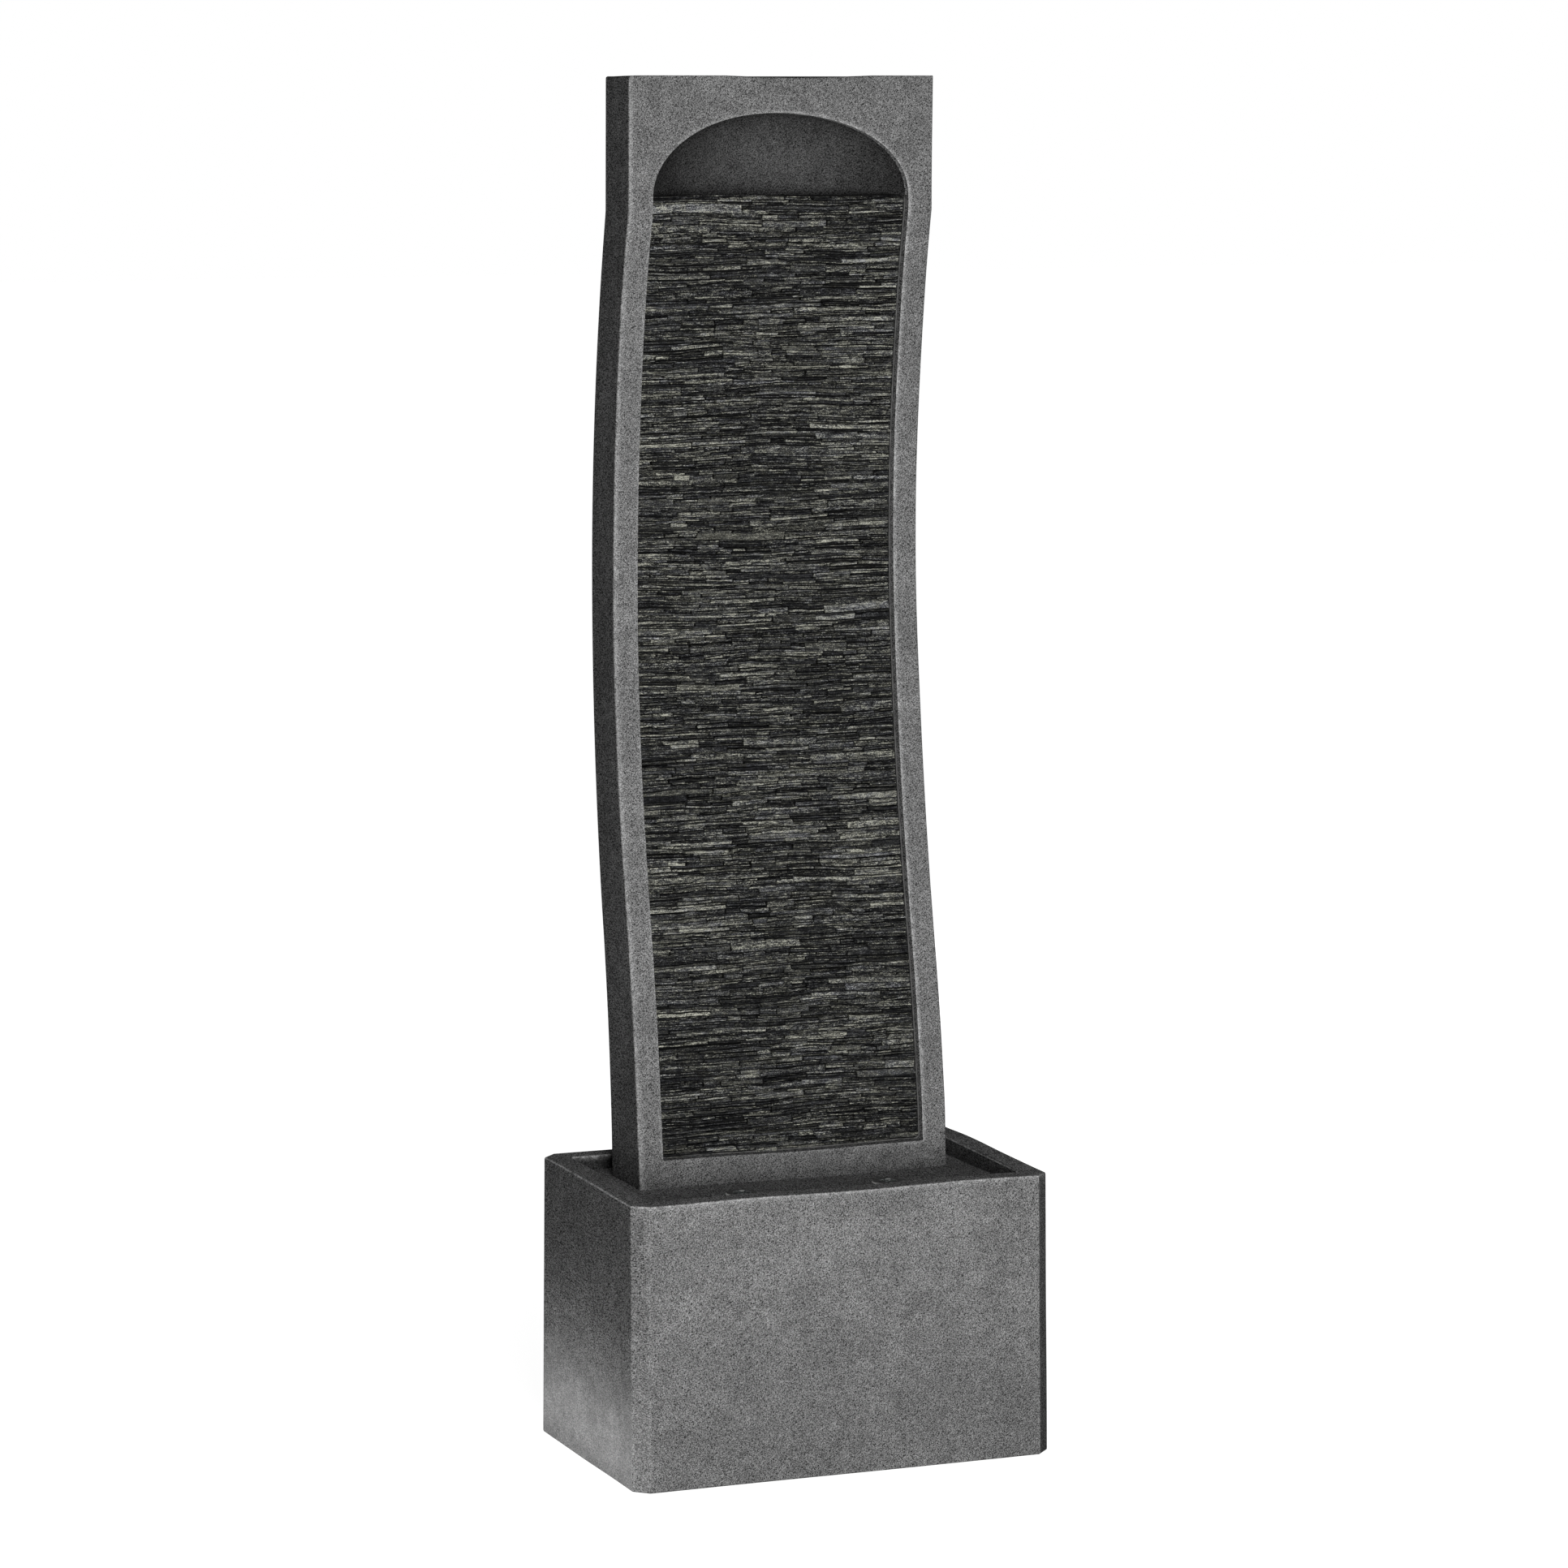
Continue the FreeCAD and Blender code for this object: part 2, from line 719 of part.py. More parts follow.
def pump_outlet():
    top = pump_low + pump_height
    stem = rod(8.0, (0, pump_y, top - 8), (0, pump_y, top + 4))
    collar = rod(9.5, (0, pump_y, top), (0, pump_y, top + 4))
    tail = rod(hose_bore - 0.1, (0, pump_y, top + 4), (0, pump_y, top + 30))
    barbs = [cone(hose_bore - 0.1, hose_bore - 0.9, (0, pump_y, top + z), (0, pump_y, top + z + 5))
             for z in (12, 18, 24)]
    bore = rod(4.5, (0, pump_y, top - 9), (0, pump_y, top + 31))
    return joined([stem, collar, tail] + barbs).cut(bore)


def pump_rotor():
    """Magnet cylinder in the well and an impeller with flat blades in the chamber."""
    magnet_start = chamber_back + 3
    magnet_end = (0, magnet_start + rotor_length, pump_axis_z)
    magnet = rod(rotor_radius, (0, magnet_start, pump_axis_z), magnet_end)
    hub = rod(6.0, (0, chamber_front + 8, pump_axis_z), (0, magnet_start + 0.5, pump_axis_z))
    disc = rod(blade_radius, (0, chamber_back - 3, pump_axis_z), (0, chamber_back - 1.5, pump_axis_z))
    blade_low = (4, chamber_front + 8, pump_axis_z - 0.8)
    blade = box(blade_low, (blade_radius, chamber_back - 2, pump_axis_z + 0.8))
    blades = []
    for step in range(blade_count):
        turned = blade.copy()
        turned.rotate(at(0, 0, pump_axis_z), at(0, 1, 0), 360.0 * step / blade_count)
        blades.append(turned)
    bore_radius = shaft_radius + running_clearance
    bore = rod(bore_radius, (0, 0, pump_axis_z), (0, motor_back, pump_axis_z))
    return joined([magnet, hub, disc] + blades).cut(bore)


def bush_places():
    """Front and rear bush as start and end along the shaft."""
    rear = chamber_back + rotor_length + 12
    return [(chamber_front + 1, chamber_front + 5), (rear - 5, rear)]


def pump_shaft():
    first = bush_places()[0][0] + 0.5
    last = bush_places()[1][1] - 0.5
    return rod(shaft_radius, (0, first, pump_axis_z), (0, last, pump_axis_z))


def pump_bushes():
    bushes = []
    for radius, (start, end) in zip((3.5, rotor_radius + 0.6), bush_places()):
        bushes.append(ring(radius, shaft_radius, (0, start, pump_axis_z), (0, end, pump_axis_z)))
    return bushes


def intake_cover():
    """Slotted front cover that slides off the chamber, with a boss for the flow dial."""
    cover = pump_box(cover_front, chamber_front - fit_gap)
    low = (-pump_half_width + cover_wall, cover_front + cover_wall, pump_low + cover_wall)
    high = (pump_half_width - cover_wall, chamber_front + 1, pump_low + pump_height - cover_wall)
    cover = cover.cut(box(low, high))
    rows = [(pump_low + 8, pump_axis_z - 14), (pump_axis_z + 14, pump_low + pump_height - 8)]
    outside = cover_front - 1
    inside = cover_front + 4
    for index in range(9):
        x = -22 + 5.5 * index
        for z_low, z_high in rows:
            cover = cover.cut(box((x - 1.2, outside, z_low), (x + 1.2, inside, z_high)))
    cover = cover.cut(rod(2.5 + running_clearance, (0, outside, pump_axis_z), (0, inside, pump_axis_z)))
    for step in range(3):
        angle = math.radians(30 + 30 * step)
        x = 7.5 * math.cos(angle)
        z = pump_axis_z + 7.5 * math.sin(angle)
        cover = cover.cut(rod(1.6, (x, outside, z), (x, inside, z)))
    return cover


def intake_sponge():
    inset = cover_wall + fit_gap
    low = (-pump_half_width + inset, cover_front + 8, pump_low + inset)
    high = (pump_half_width - inset, chamber_front - 1.0, pump_low + pump_height - inset)
    return rounded_edges(box(low, high), 4.0, along_y)


def flow_dial():
    """Round dial on the cover's front that shuts its holes, with a finger rib."""
    face = cover_front - fit_gap
    disc = rod(dial_radius, (0, face - 3, pump_axis_z), (0, face, pump_axis_z))
    notch = box((2, face - 4, pump_axis_z + 3.5), (14, face + 1, pump_axis_z + 14))
    rib = box((-10, face - 7, pump_axis_z - 1.5), (10, face - 3, pump_axis_z + 1.5))
    behind = cover_front + cover_wall + fit_gap
    stem = rod(2.5, (0, face - 1, pump_axis_z), (0, behind + 1, pump_axis_z))
    keeper = rod(4.0, (0, behind, pump_axis_z), (0, behind + 2, pump_axis_z))
    return joined([disc.cut(notch), rib, stem, keeper])


def pump_feet():
    feet = []
    for x in (-20, 20):
        for y in (chamber_back + 8, motor_back - 10):
            cup = cone(9, 5, (x, y, basin_floor), (x, y, basin_floor + pump_foot))
            feet.append(cup.cut(cone(7, 0.5, (x, y, basin_floor - 0.5), (x, y, basin_floor + 3))))
    return feet


# Tower


def tower_front():
    body = layer(front, 0, back, 0, deck_top, total_height)
    body = rounded_edges(body, edge_round, lambda e: e.BoundBox.ZMax > deck_top + 1)
    ceiling = total_height - shell_wall
    plate_top = deck_top + shell_wall
    hollow = layer(front, shell_wall, back, 6, plate_top, ceiling, shell_wall)
    doorway = layer(back, -shell_wall - fit_gap, back, 6, deck_top - 0.1, ceiling, shell_wall)
    floor_cut = box((-160, 6, deck_top - 1), (160, 999, plate_top + 1))
    body = less(body, [hollow, doorway, floor_cut])
    strip_back = -shell_wall - fit_gap
    strip_front = strip_back - back_flange_thickness
    strip = layer(back, strip_front, back, strip_back, plate_top, ceiling, shell_wall - 1)
    strip = strip.cut(taper(shell_wall + back_flange, deck_top, total_height))
    opening = window(0, spring_z + 1)
    opening = opening.common(layer(front, -30, front, reveal_depth + 5, deck_top + 5, spring_z))
    reveal = layer(front, shell_wall - 1, front, reveal_depth, deck_top + 5, spring_z)
    reveal = reveal.common(window(reveal_wall, spring_z + 1)).cut(window(0, spring_z + 1))
    body = joined([body, strip, reveal])
    mouth = arch_dome(0).common(box((-400, 0, spring_z), (400, 400, total_height)))
    cuts = [opening, mouth]
    for x, y in bolt_places():
        cuts.append(rod(tower_bolt_radius + 0.5, (x, y, deck_top - 1), (x, y, plate_top + 1)))
    for x, z in cover_screw_places():
        cuts.append(on_back(rod(cover_screw_radius + 0.1, (0, -30, 0), (0, 5, 0)), x, z))
    return less(body, cuts)


def cover_screw_places():
    low = deck_top + 60
    pitch = (total_height - 60 - low) / (cover_screw_count - 1)
    places = []
    for index in range(cover_screw_count):
        z = low + index * pitch
        x = half_width(z) - shell_wall - back_flange / 2 - 1
        places += [(-x, z), (x, z)]
    return places


def tie_screw_places():
    return [(x, total_height - 76) for x in (-18, 18)]


def door_zone(grow):
    half = door_half_width + grow
    return box((-half, -50, door_low - grow), (half, 300, door_high + grow))


def hinge_pivot():
    z = door_high + hinge_rise - door_gap
    return back.y(z) + hinge_stand_off, z


def knuckle(x_low, x_high):
    y, z = hinge_pivot()
    return rod(knuckle_radius, (x_low, y, z), (x_high, y, z))


def pin_hole(x):
    y, z = hinge_pivot()
    reach = knuckle_length * 2
    return rod(pin_radius + pin_clearance, (x - reach, y, z), (x + reach, y, z))


def cover_lug(x_low, x_high):
    """Ear on the cover, above the door, that holds the end of a hinge pin."""
    y, z = hinge_pivot()
    foot = z + 20
    profile = [(y + knuckle_radius, z), (back.y(foot) - 2, foot), (back.y(z) - 2, z - 2), (y, z - 2)]
    side = [(x_low, lug_y, lug_z) for lug_y, lug_z in profile]
    return prism(side, (x_high - x_low, 0, 0)).fuse(knuckle(x_low, x_high))


def door_lug(x_low, x_high):
    y, z = hinge_pivot()
    top = door_high - door_gap
    foot = top - 20
    face = back.y(top)
    profile = [(y + knuckle_radius, z), (y - 3, z), (face + 0.5, top), (face - 2, top - 0.5)]
    profile.append((back.y(foot) - 2, foot))
    side = [(x_low, lug_y, lug_z) for lug_y, lug_z in profile]
    return prism(side, (x_high - x_low, 0, 0)).fuse(knuckle(x_low, x_high))


def tower_back_cover():
    inset = shell_wall + fit_gap
    top = total_height - shell_wall - fit_gap
    cover = layer(back, -shell_wall, back, 0, deck_top + fit_gap, top, inset)
    low, high = door_low - 20, door_high + 20
    step = -shell_wall - seal_space
    rebate = layer(back, step - rebate_thickness, back, 0.5 - shell_wall, low, high, inset)
    rebate = rebate.common(door_zone(door_rebate)).cut(door_zone(-door_rebate))
    rebate = rebate.cut(layer(back, step, back, 1, low, high).common(door_zone(0)))
    cover = joined([cover.cut(door_zone(0)), rebate])
    half = knuckle_length / 2
    for x in (-hinge_x, hinge_x):
        for low, high in ((x - half - 8.5, x - half - 0.5), (x + half + 0.5, x + half + 8.5)):
            cover = cover.fuse(cover_lug(low, high))
        cover = cover.cut(pin_hole(x))
    screw_hole = rod(cover_screw_radius + 0.3, (0, -20, 0), (0, 5, 0))
    tie_hole = rod(tie_screw_radius + 0.1, (0, -20, 0), (0, 5, 0))
    cuts = [on_back(screw_hole, x, z) for x, z in cover_screw_places()]
    cuts += [on_back(tie_hole, x, z) for x, z in tie_screw_places()]
    return less(cover, cuts).removeSplitter()


def latch_place():
    z = door_low + latch_above_low
    return back.y(z) + 3, z


def access_door():
    panel = layer(back, -shell_wall, back, 0, door_low - 20, door_high + 20).common(door_zone(-door_gap))
    half = knuckle_length / 2
    for x in (-hinge_x, hinge_x):
        panel = panel.fuse(door_lug(x - half, x + half)).cut(pin_hole(x))
    y, z = latch_place()
    panel = panel.fuse(rod(latch_knob_radius + 3, (0, y - 8, z), (0, y, z)))
    panel = panel.cut(box((-60, y - 40, z - 40), (60, back.y(z - 18) - shell_wall, z + 40)))
    shaft_hole = rod(latch_shaft_radius + running_clearance, (0, y - 40, z), (0, y + 9, z))
    return panel.cut(shaft_hole).removeSplitter()


def door_gasket():
    start = -shell_wall - seal_space + 0.1
    seal = layer(back, start, back, start + seal_thickness, door_low - 20, door_high + 20)
    return seal.common(door_zone(-1.0)).cut(door_zone(-door_rebate + 2))


def door_latch():
    """Knob outside, shaft through the door and a tongue inside, shown unlocked."""
    y, z = latch_place()
    knob = rod(latch_knob_radius, (0, y + fit_gap, z), (0, y + 5, z))
    bar = box((-4, y + 4, z - latch_knob_radius), (4, y + 16, z + latch_knob_radius))
    bar = rounded_edges(bar, 3.0, along_y)
    inside = back.y(door_low) - shell_wall - seal_space - rebate_thickness - 1.2
    shaft = rod(latch_shaft_radius, (0, inside - 3, z), (0, y + 5, z))
    tongue = box((-5, inside - 3, z - 5), (23, inside, z + 5))
    tongue = rounded_edges(tongue, 2.0, along_y)
    return joined([knob, bar, shaft, tongue])


def hinge_pins():
    y, z = hinge_pivot()
    reach = knuckle_length / 2 + 10.5
    pins = []
    for x in (-hinge_x, hinge_x):
        shank = rod(pin_radius, (x - reach, y, z), (x + reach, y, z))
        head = rod(pin_radius + 1.4, (x - reach - 1.5, y, z), (x - reach, y, z))
        pins.append(joined([shank, head]))
    return pins


def wall_tie():
    """Angle plate near the top: a flat foot on the back cover and a tongue with an eye."""
    z = total_height - 76
    y = back_block_y
    foot = box((-30, y, z - 12), (30, y + 2.5, z + 12))
    tongue = box((-14, y, z + 9.5), (14, y + 34, z + 12))
    cuts = [rod(tie_screw_radius + 0.3, (x, y - 1, z), (x, y + 4, z)) for x in (-18, 18)]
    cuts.append(rod(tie_eye_radius, (0, y + 22, z), (0, y + 22, z + 20)))
    return less(joined([foot, tongue]), cuts)


def pan_screw(radius, head_radius, length, head_height):
    """Screw along +Y with its head seated at the origin and a cross recess."""
    shank = rod(radius, (0, -length, 0), (0, 0.1, 0))
    head = cone(head_radius, head_radius * 0.75, (0, 0, 0), (0, head_height, 0))
    slot = head_radius * 0.6
    cross = [box((-slot, head_height - 1.2, -0.5), (slot, head_height + 1, 0.5)),
             box((-0.5, head_height - 1.2, -slot), (0.5, head_height + 1, slot))]
    return less(joined([shank, head]), cross)


def slate_backer():
    top = spring_z - shelf_thickness - fit_gap
    inset = frame_border - backer_overlap
    return layer(front, backer_front, front, backer_back, sill_top - backer_overlap, top, inset)


def slate_panel(index):
    """One tile of bonded strips: its front steps in and out, course by course."""
    height = slate_height / slate_panel_count
    low = sill_top + index * height
    course = height / courses_per_panel
    corners = []
    for step in range(courses_per_panel):
        z = low + step * course
        depth = course_steps[(step * 3 + index) % len(course_steps)]
        y = front.y(z + course / 2) + slate_recess + depth - 1.0
        corners += [at(0, y, z), at(0, y, z + course)]
    pairs = [(a, b) for a, b in zip(corners, corners[1:]) if (b - a).Length > 0.01]
    lines = [Part.LineSegment(a, b).toShape() for a, b in pairs]
    high = low + height
    back_run = front.edges(slate_back, low, high)
    ends = [Part.LineSegment(at(0, front.y(z) + slate_back, z), corner).toShape()
            for z, corner in ((low, corners[0]), (high, corners[-1]))]
    slab = across_tower(lines + back_run + ends)
    return slab.common(window(-bead_width - fit_gap, spring_z + 1))


def slate_sealant():
    """Bead along both sides and the bottom of the slate, inside the frame's opening."""
    start = slate_recess + 2.0
    seam = layer(front, start, front, start + bead_depth, deck_top + 5, spring_z - 1)
    return seam.common(window(-0.05, spring_z + 1)).cut(window(-bead_width, spring_z + 2))


def niche_bowl():
    """Scooped recess behind the arch, with a flange behind the frame and a slotted shelf."""
    start = front_block_y + shell_wall + fit_gap
    across = half_width(spring_z) + 20
    low = spring_z - shelf_thickness
    room = box((-across, start, low), (across, start + 200, total_height))
    shell = arch_dome(niche_wall).common(room)
    flange_half = half_width(spring_z) - frame_border + niche_flange
    flange = box((-flange_half, start, spring_z), (flange_half, start + niche_flange_thickness,
                                                   spring_z + arch_rise + niche_flange))
    hollow = arch_dome(0).common(box((-across, 0, spring_z), (across, 400, total_height)))
    slate_top = box((-across, 0, low - 1), (across, front_block_y + slate_back + fit_gap, spring_z))
    slot_y_low = trough_front() + trough_wall + 0.5
    slot = box((-spill_slot_half_length, slot_y_low, low - 1),
               (spill_slot_half_length, slot_y_low + spill_slot_width, spring_z + 1))
    return less(joined([shell, flange]), [hollow, slate_top, slot])


def trough_front():
    return front.y(spring_z - shelf_thickness - trough_depth) + backer_back + 2.0


def spreader_y():
    """Pipe and hose tail stand behind the spill slot."""
    return trough_front() + trough_width - trough_wall - spreader_radius - 2.5


def trough_floor():
    return spring_z - shelf_thickness - trough_depth + trough_wall


def water_trough():
    top = spring_z - shelf_thickness - fit_gap
    low = (-trough_half_length, trough_front(), trough_floor() - trough_wall)
    high = (trough_half_length, trough_front() + trough_width, top)
    inner_low = [low[0] + trough_wall, low[1] + trough_wall, trough_floor()]
    inner_high = [high[0] - trough_wall, high[1] - trough_wall, top + 1]
    trough = rounded_edges(box(low, high), 5.0, along_z).cut(box(inner_low, inner_high))
    hole = rod(hose_bore + 0.3, (0, spreader_y(), 0), (0, spreader_y(), top))
    return trough.cut(hole)


def spreader_z():
    return trough_floor() + 20.0


def spreader_pipe():
    """Cross tube with a row of holes along its top and a stub down to the hose tail."""
    y, z = spreader_y(), spreader_z()
    end = (spreader_half_length, y, z)
    run = ring(spreader_radius, spreader_radius - spreader_wall, (-spreader_half_length, y, z), end)
    stub = rod(spreader_radius + 1, (0, y, trough_floor() + 8.2), (0, y, z))
    pipe = run.fuse(stub.cut(rod(spreader_radius - 0.5, (-20, y, z), (20, y, z))))
    pipe = pipe.cut(rod(spreader_radius - spreader_wall, (0, y, trough_floor() + 8), (0, y, z)))
    pitch = 2 * (spreader_half_length - 14) / (spreader_hole_count - 1)
    for index in range(spreader_hole_count):
        x = -spreader_half_length + 14 + index * pitch
        pipe = pipe.cut(rod(spreader_hole_radius, (x, y, z), (x, y, z + spreader_radius + 1)))
    return pipe.removeSplitter()


def spreader_caps():
    y, z = spreader_y(), spreader_z()
    caps = []
    for side in (-1, 1):
        end = side * spreader_half_length
        plug = rod(spreader_radius - spreader_wall, (end - side * 8, y, z), (end, y, z))
        cap = rod(spreader_radius + 0.5, (end, y, z), (end + side * 3, y, z))
        caps.append(joined([plug, cap]))
    return caps


def trough_fitting():
    """Hose tail through the trough's floor: flange above, nut and barbed tail below."""
    y = spreader_y()
    floor_z = trough_floor()
    under = floor_z - trough_wall
    flange = rod(9, (0, y, floor_z), (0, y, floor_z + 3))
    stem = rod(hose_bore, (0, y, under - 8), (0, y, floor_z + 8))
    nut = rod(11, (0, y, under - 6), (0, y, under))
    tail = rod(hose_bore - 0.1, (0, y, under - 27), (0, y, under - 8))
    bore = rod(4.5, (0, y, under - 28), (0, y, floor_z + 9))
    return joined([flange, stem, nut, tail]).cut(bore)


def riser_points():
    """Up from the pump, midway between backer and back cover, and into the trough."""
    points = [(0, pump_y, pump_low + pump_height + 6), (0, pump_y, deck_low - 140)]
    points.append((0, pump_y + 2, deck_low))
    low = deck_top + 120
    high = trough_floor() - trough_wall - 120
    steps = 7
    for index in range(steps):
        z = low + (high - low) * index / (steps - 1)
        middle = (front.y(z) + backer_back + back.y(z) - shell_wall - rebate_thickness) / 2
        points.append((0, middle, z))
    points.append((0, spreader_y(), trough_floor() - trough_wall - 60))
    points.append((0, spreader_y(), trough_floor() - trough_wall - 8))
    return points


def hose_clips():
    top = pump_low + pump_height + 16
    end = trough_floor() - trough_wall - 26
    clips = []
    for y, z in ((pump_y, top), (spreader_y(), end)):
        band = ring(hose_radius + clip_thickness, hose_radius, (0, y, z), (0, y, z + clip_width))
        lock = box((hose_radius, y - 3.5, z), (hose_radius + 7, y + 3.5, z + clip_width))
        lock = lock.cut(rod(hose_radius, (0, y, z - 1), (0, y, z + clip_width + 1)))
        clips.append(joined([band, lock]))
    return clips


def hexagon(across, start, height):
    x, y, z = start
    radius = across / math.sqrt(3)
    corners = []
    for step in range(6):
        angle = math.radians(60 * step)
        corners.append((x + radius * math.cos(angle), y + radius * math.sin(angle), z))
    return prism(corners, (0, 0, height))


def tower_fasteners():
    bolts, washers, nuts = [], [], []
    seat = deck_top + shell_wall
    for x, y in bolt_places():
        washers.append(ring(9, tower_bolt_radius + 0.3, (x, y, seat), (x, y, seat + 1.6)))
        washers.append(ring(9, tower_bolt_radius + 0.3, (x, y, deck_low - 1.6), (x, y, deck_low)))
        head = hexagon(13.0, (x, y, seat + 1.6), 5.5)
        bolts.append(joined([head, rod(tower_bolt_radius, (x, y, deck_low - 14), (x, y, seat + 2))]))
        hub = cone(9, 7, (x, y, deck_low - 1.6), (x, y, deck_low - 10))
        wing = box((x - 15, y - 1.5, deck_low - 16), (x + 15, y + 1.5, deck_low - 5))
        wing = rounded_edges(wing, 4.0, along_y)
        nuts.append(joined([hub, wing]).cut(rod(tower_bolt_radius + 0.05, (x, y, 0), (x, y, deck_low))))
    return bolts, washers, nuts


# Leads inside the basin


def pump_lead_points():
    """Up the back wall from the pump to the middle entry."""
    y = motor_back
    z = pump_axis_z + 14
    end = entry_point(1)
    return [
        (0, y, z), (0, y + 19, z), (-2, y + 36, z + 8), (-8, y + 45, z + 26), (-22, y + 47, z + 50),
        (-44, y + 46, z + 76), (-72, y + 44, z + 102), (-102, y + 42, z + 130), (-128, y + 41, z + 160),
        (-150, y + 41, z + 182), (-169, end[1] - 1, z + 200), (end[0], end[1], end[2] - 22), end,
    ]


def lamp_lead_points(side):
    """Down from the lamp and back beside the left posts to its entry."""
    x, y, z = side * lamp_x, lamp_y, deck_top - lamp_body_depth - 8
    if side < 0:
        end = entry_point(0)
        middle = [
            (x, y, z - 28), (-108, -66, 278), (-112, -40, 262), (-116, -6, 255), (-119, 34, 253),
            (-124, 74, 252), (-140, 108, 250), (-162, 136, 250), (-184, 152, 256),
            (end[0], end[1], end[2] - 24),
        ]
    else:
        end = entry_point(2)
        middle = [
            (x, y, z - 27), (100, -68, 278), (82, -52, 260), (52, -42, 250), (14, -38, 246),
            (-26, -34, 244), (-62, -18, 243), (-90, 10, 242), (-106, 46, 242), (-116, 82, 242),
            (-130, 114, 243), (-148, 141, 252), (end[0], end[1], end[2] - 26),
        ]
    return [(x, y, z)] + middle + [end]


# Everything, one file per node

save("basin_shell", basin_shell())
save("deck_tray", deck_tray())
save("deck_gasket", deck_gasket())
save("deck_posts", deck_posts())
save("drain_bung", drain_bung())

save("inlet_box", inlet_box())
save("inlet_nut", inlet_nut())
save("inlet_gasket", inlet_gasket())

lamp_names = ["gasket", "ring", "lens", "housing", "board"]
left_lamp = dict(zip(lamp_names, lamp_parts(-1)))
right_lamp = dict(zip(lamp_names, lamp_parts(1)))
for name in ("ring", "lens"):
    save("lamp_" + name + "_left", left_lamp[name])
    save("lamp_" + name + "_right", right_lamp[name])
for name in ("gasket", "housing", "board"):
    save("lamp_" + name + "s", [left_lamp[name], right_lamp[name]])
for hand, side in (("left", -1), ("right", 1)):
    lead_name = "lamp_lead_" + hand
    save(lead_name, tube(lead_name, lamp_lead_points(side), lamp_lead_radius))

save("pump_body", pump_body())
save("pump_core", pump_core())
save("pump_coil", pump_coil())
save("pump_chamber", pump_chamber())
save("pump_outlet", pump_outlet())
save("pump_rotor", pump_rotor())
save("pump_shaft", pump_shaft())
save("pump_bushes", pump_bushes())
save("intake_cover", intake_cover())
save("intake_sponge", intake_sponge())
save("flow_dial", flow_dial())
save("pump_feet", pump_feet())
save("pump_lead", tube("pump_lead", pump_lead_points(), lead_radius))

save("tower_front", tower_front())
save("tower_back_cover", tower_back_cover())
save("access_door", access_door())
save("door_gasket", door_gasket())
save("door_latch", door_latch())
save("hinge_pins", hinge_pins())
save("wall_tie", wall_tie())
tie_screw = pan_screw(tie_screw_radius, 4.5, 7.9, 2.6)
tie_screw.translate(at(0, 2.5, 0))
save("wall_tie_screws", [on_back(tie_screw, x, z) for x, z in tie_screw_places()])
cover_screw = pan_screw(cover_screw_radius, 4.0, 13.5, 2.4)
save("cover_screws", [on_back(cover_screw, x, z) for x, z in cover_screw_places()])

save("niche_bowl", niche_bowl())
save("water_trough", water_trough())
save("spreader_pipe", spreader_pipe())
save("spreader_caps", spreader_caps())
save("trough_fitting", trough_fitting())
save("riser_hose", tube("riser_hose", riser_points(), hose_radius, hose_bore))
save("hose_clips", hose_clips())
save("slate_backer", slate_backer())
save("slate_sealant", slate_sealant())
for panel_index in range(slate_panel_count):
    save("slate_panel_" + str(panel_index + 1), slate_panel(panel_index))

tower_bolts, tower_washers, tower_nuts = tower_fasteners()
save("tower_bolts", tower_bolts)
save("tower_washers", tower_washers)
save("tower_nuts", tower_nuts)
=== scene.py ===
import math
from functools import partial

import bmesh
import bpy
import numpy as np
from mathutils import Matrix, Vector


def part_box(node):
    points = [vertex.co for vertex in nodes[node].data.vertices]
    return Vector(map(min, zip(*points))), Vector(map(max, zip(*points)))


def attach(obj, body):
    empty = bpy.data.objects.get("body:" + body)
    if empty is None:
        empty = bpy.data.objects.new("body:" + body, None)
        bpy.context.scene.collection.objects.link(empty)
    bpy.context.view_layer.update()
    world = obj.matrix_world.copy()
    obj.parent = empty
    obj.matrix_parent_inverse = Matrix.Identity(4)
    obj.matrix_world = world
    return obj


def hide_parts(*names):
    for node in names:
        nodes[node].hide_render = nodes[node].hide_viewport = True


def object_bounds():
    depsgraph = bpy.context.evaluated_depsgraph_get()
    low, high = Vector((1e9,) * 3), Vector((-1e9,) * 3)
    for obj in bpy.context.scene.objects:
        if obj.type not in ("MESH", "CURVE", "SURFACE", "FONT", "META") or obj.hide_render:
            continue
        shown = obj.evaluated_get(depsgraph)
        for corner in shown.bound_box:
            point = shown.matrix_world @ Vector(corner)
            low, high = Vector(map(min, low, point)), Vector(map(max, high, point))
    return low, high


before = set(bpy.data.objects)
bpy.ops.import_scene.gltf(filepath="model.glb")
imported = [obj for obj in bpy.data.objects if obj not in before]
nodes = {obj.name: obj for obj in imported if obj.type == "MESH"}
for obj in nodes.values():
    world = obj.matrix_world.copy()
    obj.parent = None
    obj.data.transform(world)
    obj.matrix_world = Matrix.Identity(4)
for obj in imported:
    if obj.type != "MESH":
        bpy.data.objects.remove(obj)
cad_low, cad_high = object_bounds()
MM = 0.001

# Heights and widths of the part's drawing, in mm
DECK_TOP, RIM_TOP, TOWER_TOP = 362.0, 381.0, 1830.0
SILL, SPRING, ARCH_RISE = 398.0, 1672.0, 109.0
FOOT_HALF, NARROWING, BORDER = 222.5, 7.5, 34.0
TAPER = NARROWING / (TOWER_TOP - DECK_TOP)
ARCH_HALF = FOOT_HALF - TAPER * (SPRING - DECK_TOP) - BORDER
WELL_X, WELL_Y = 262.0, 152.8      # half the basin's well
LAMP_X, LAMP_Y = 105.0, 77.0       # a lamp's centre, right or left of the middle and in front of it


# Shaders

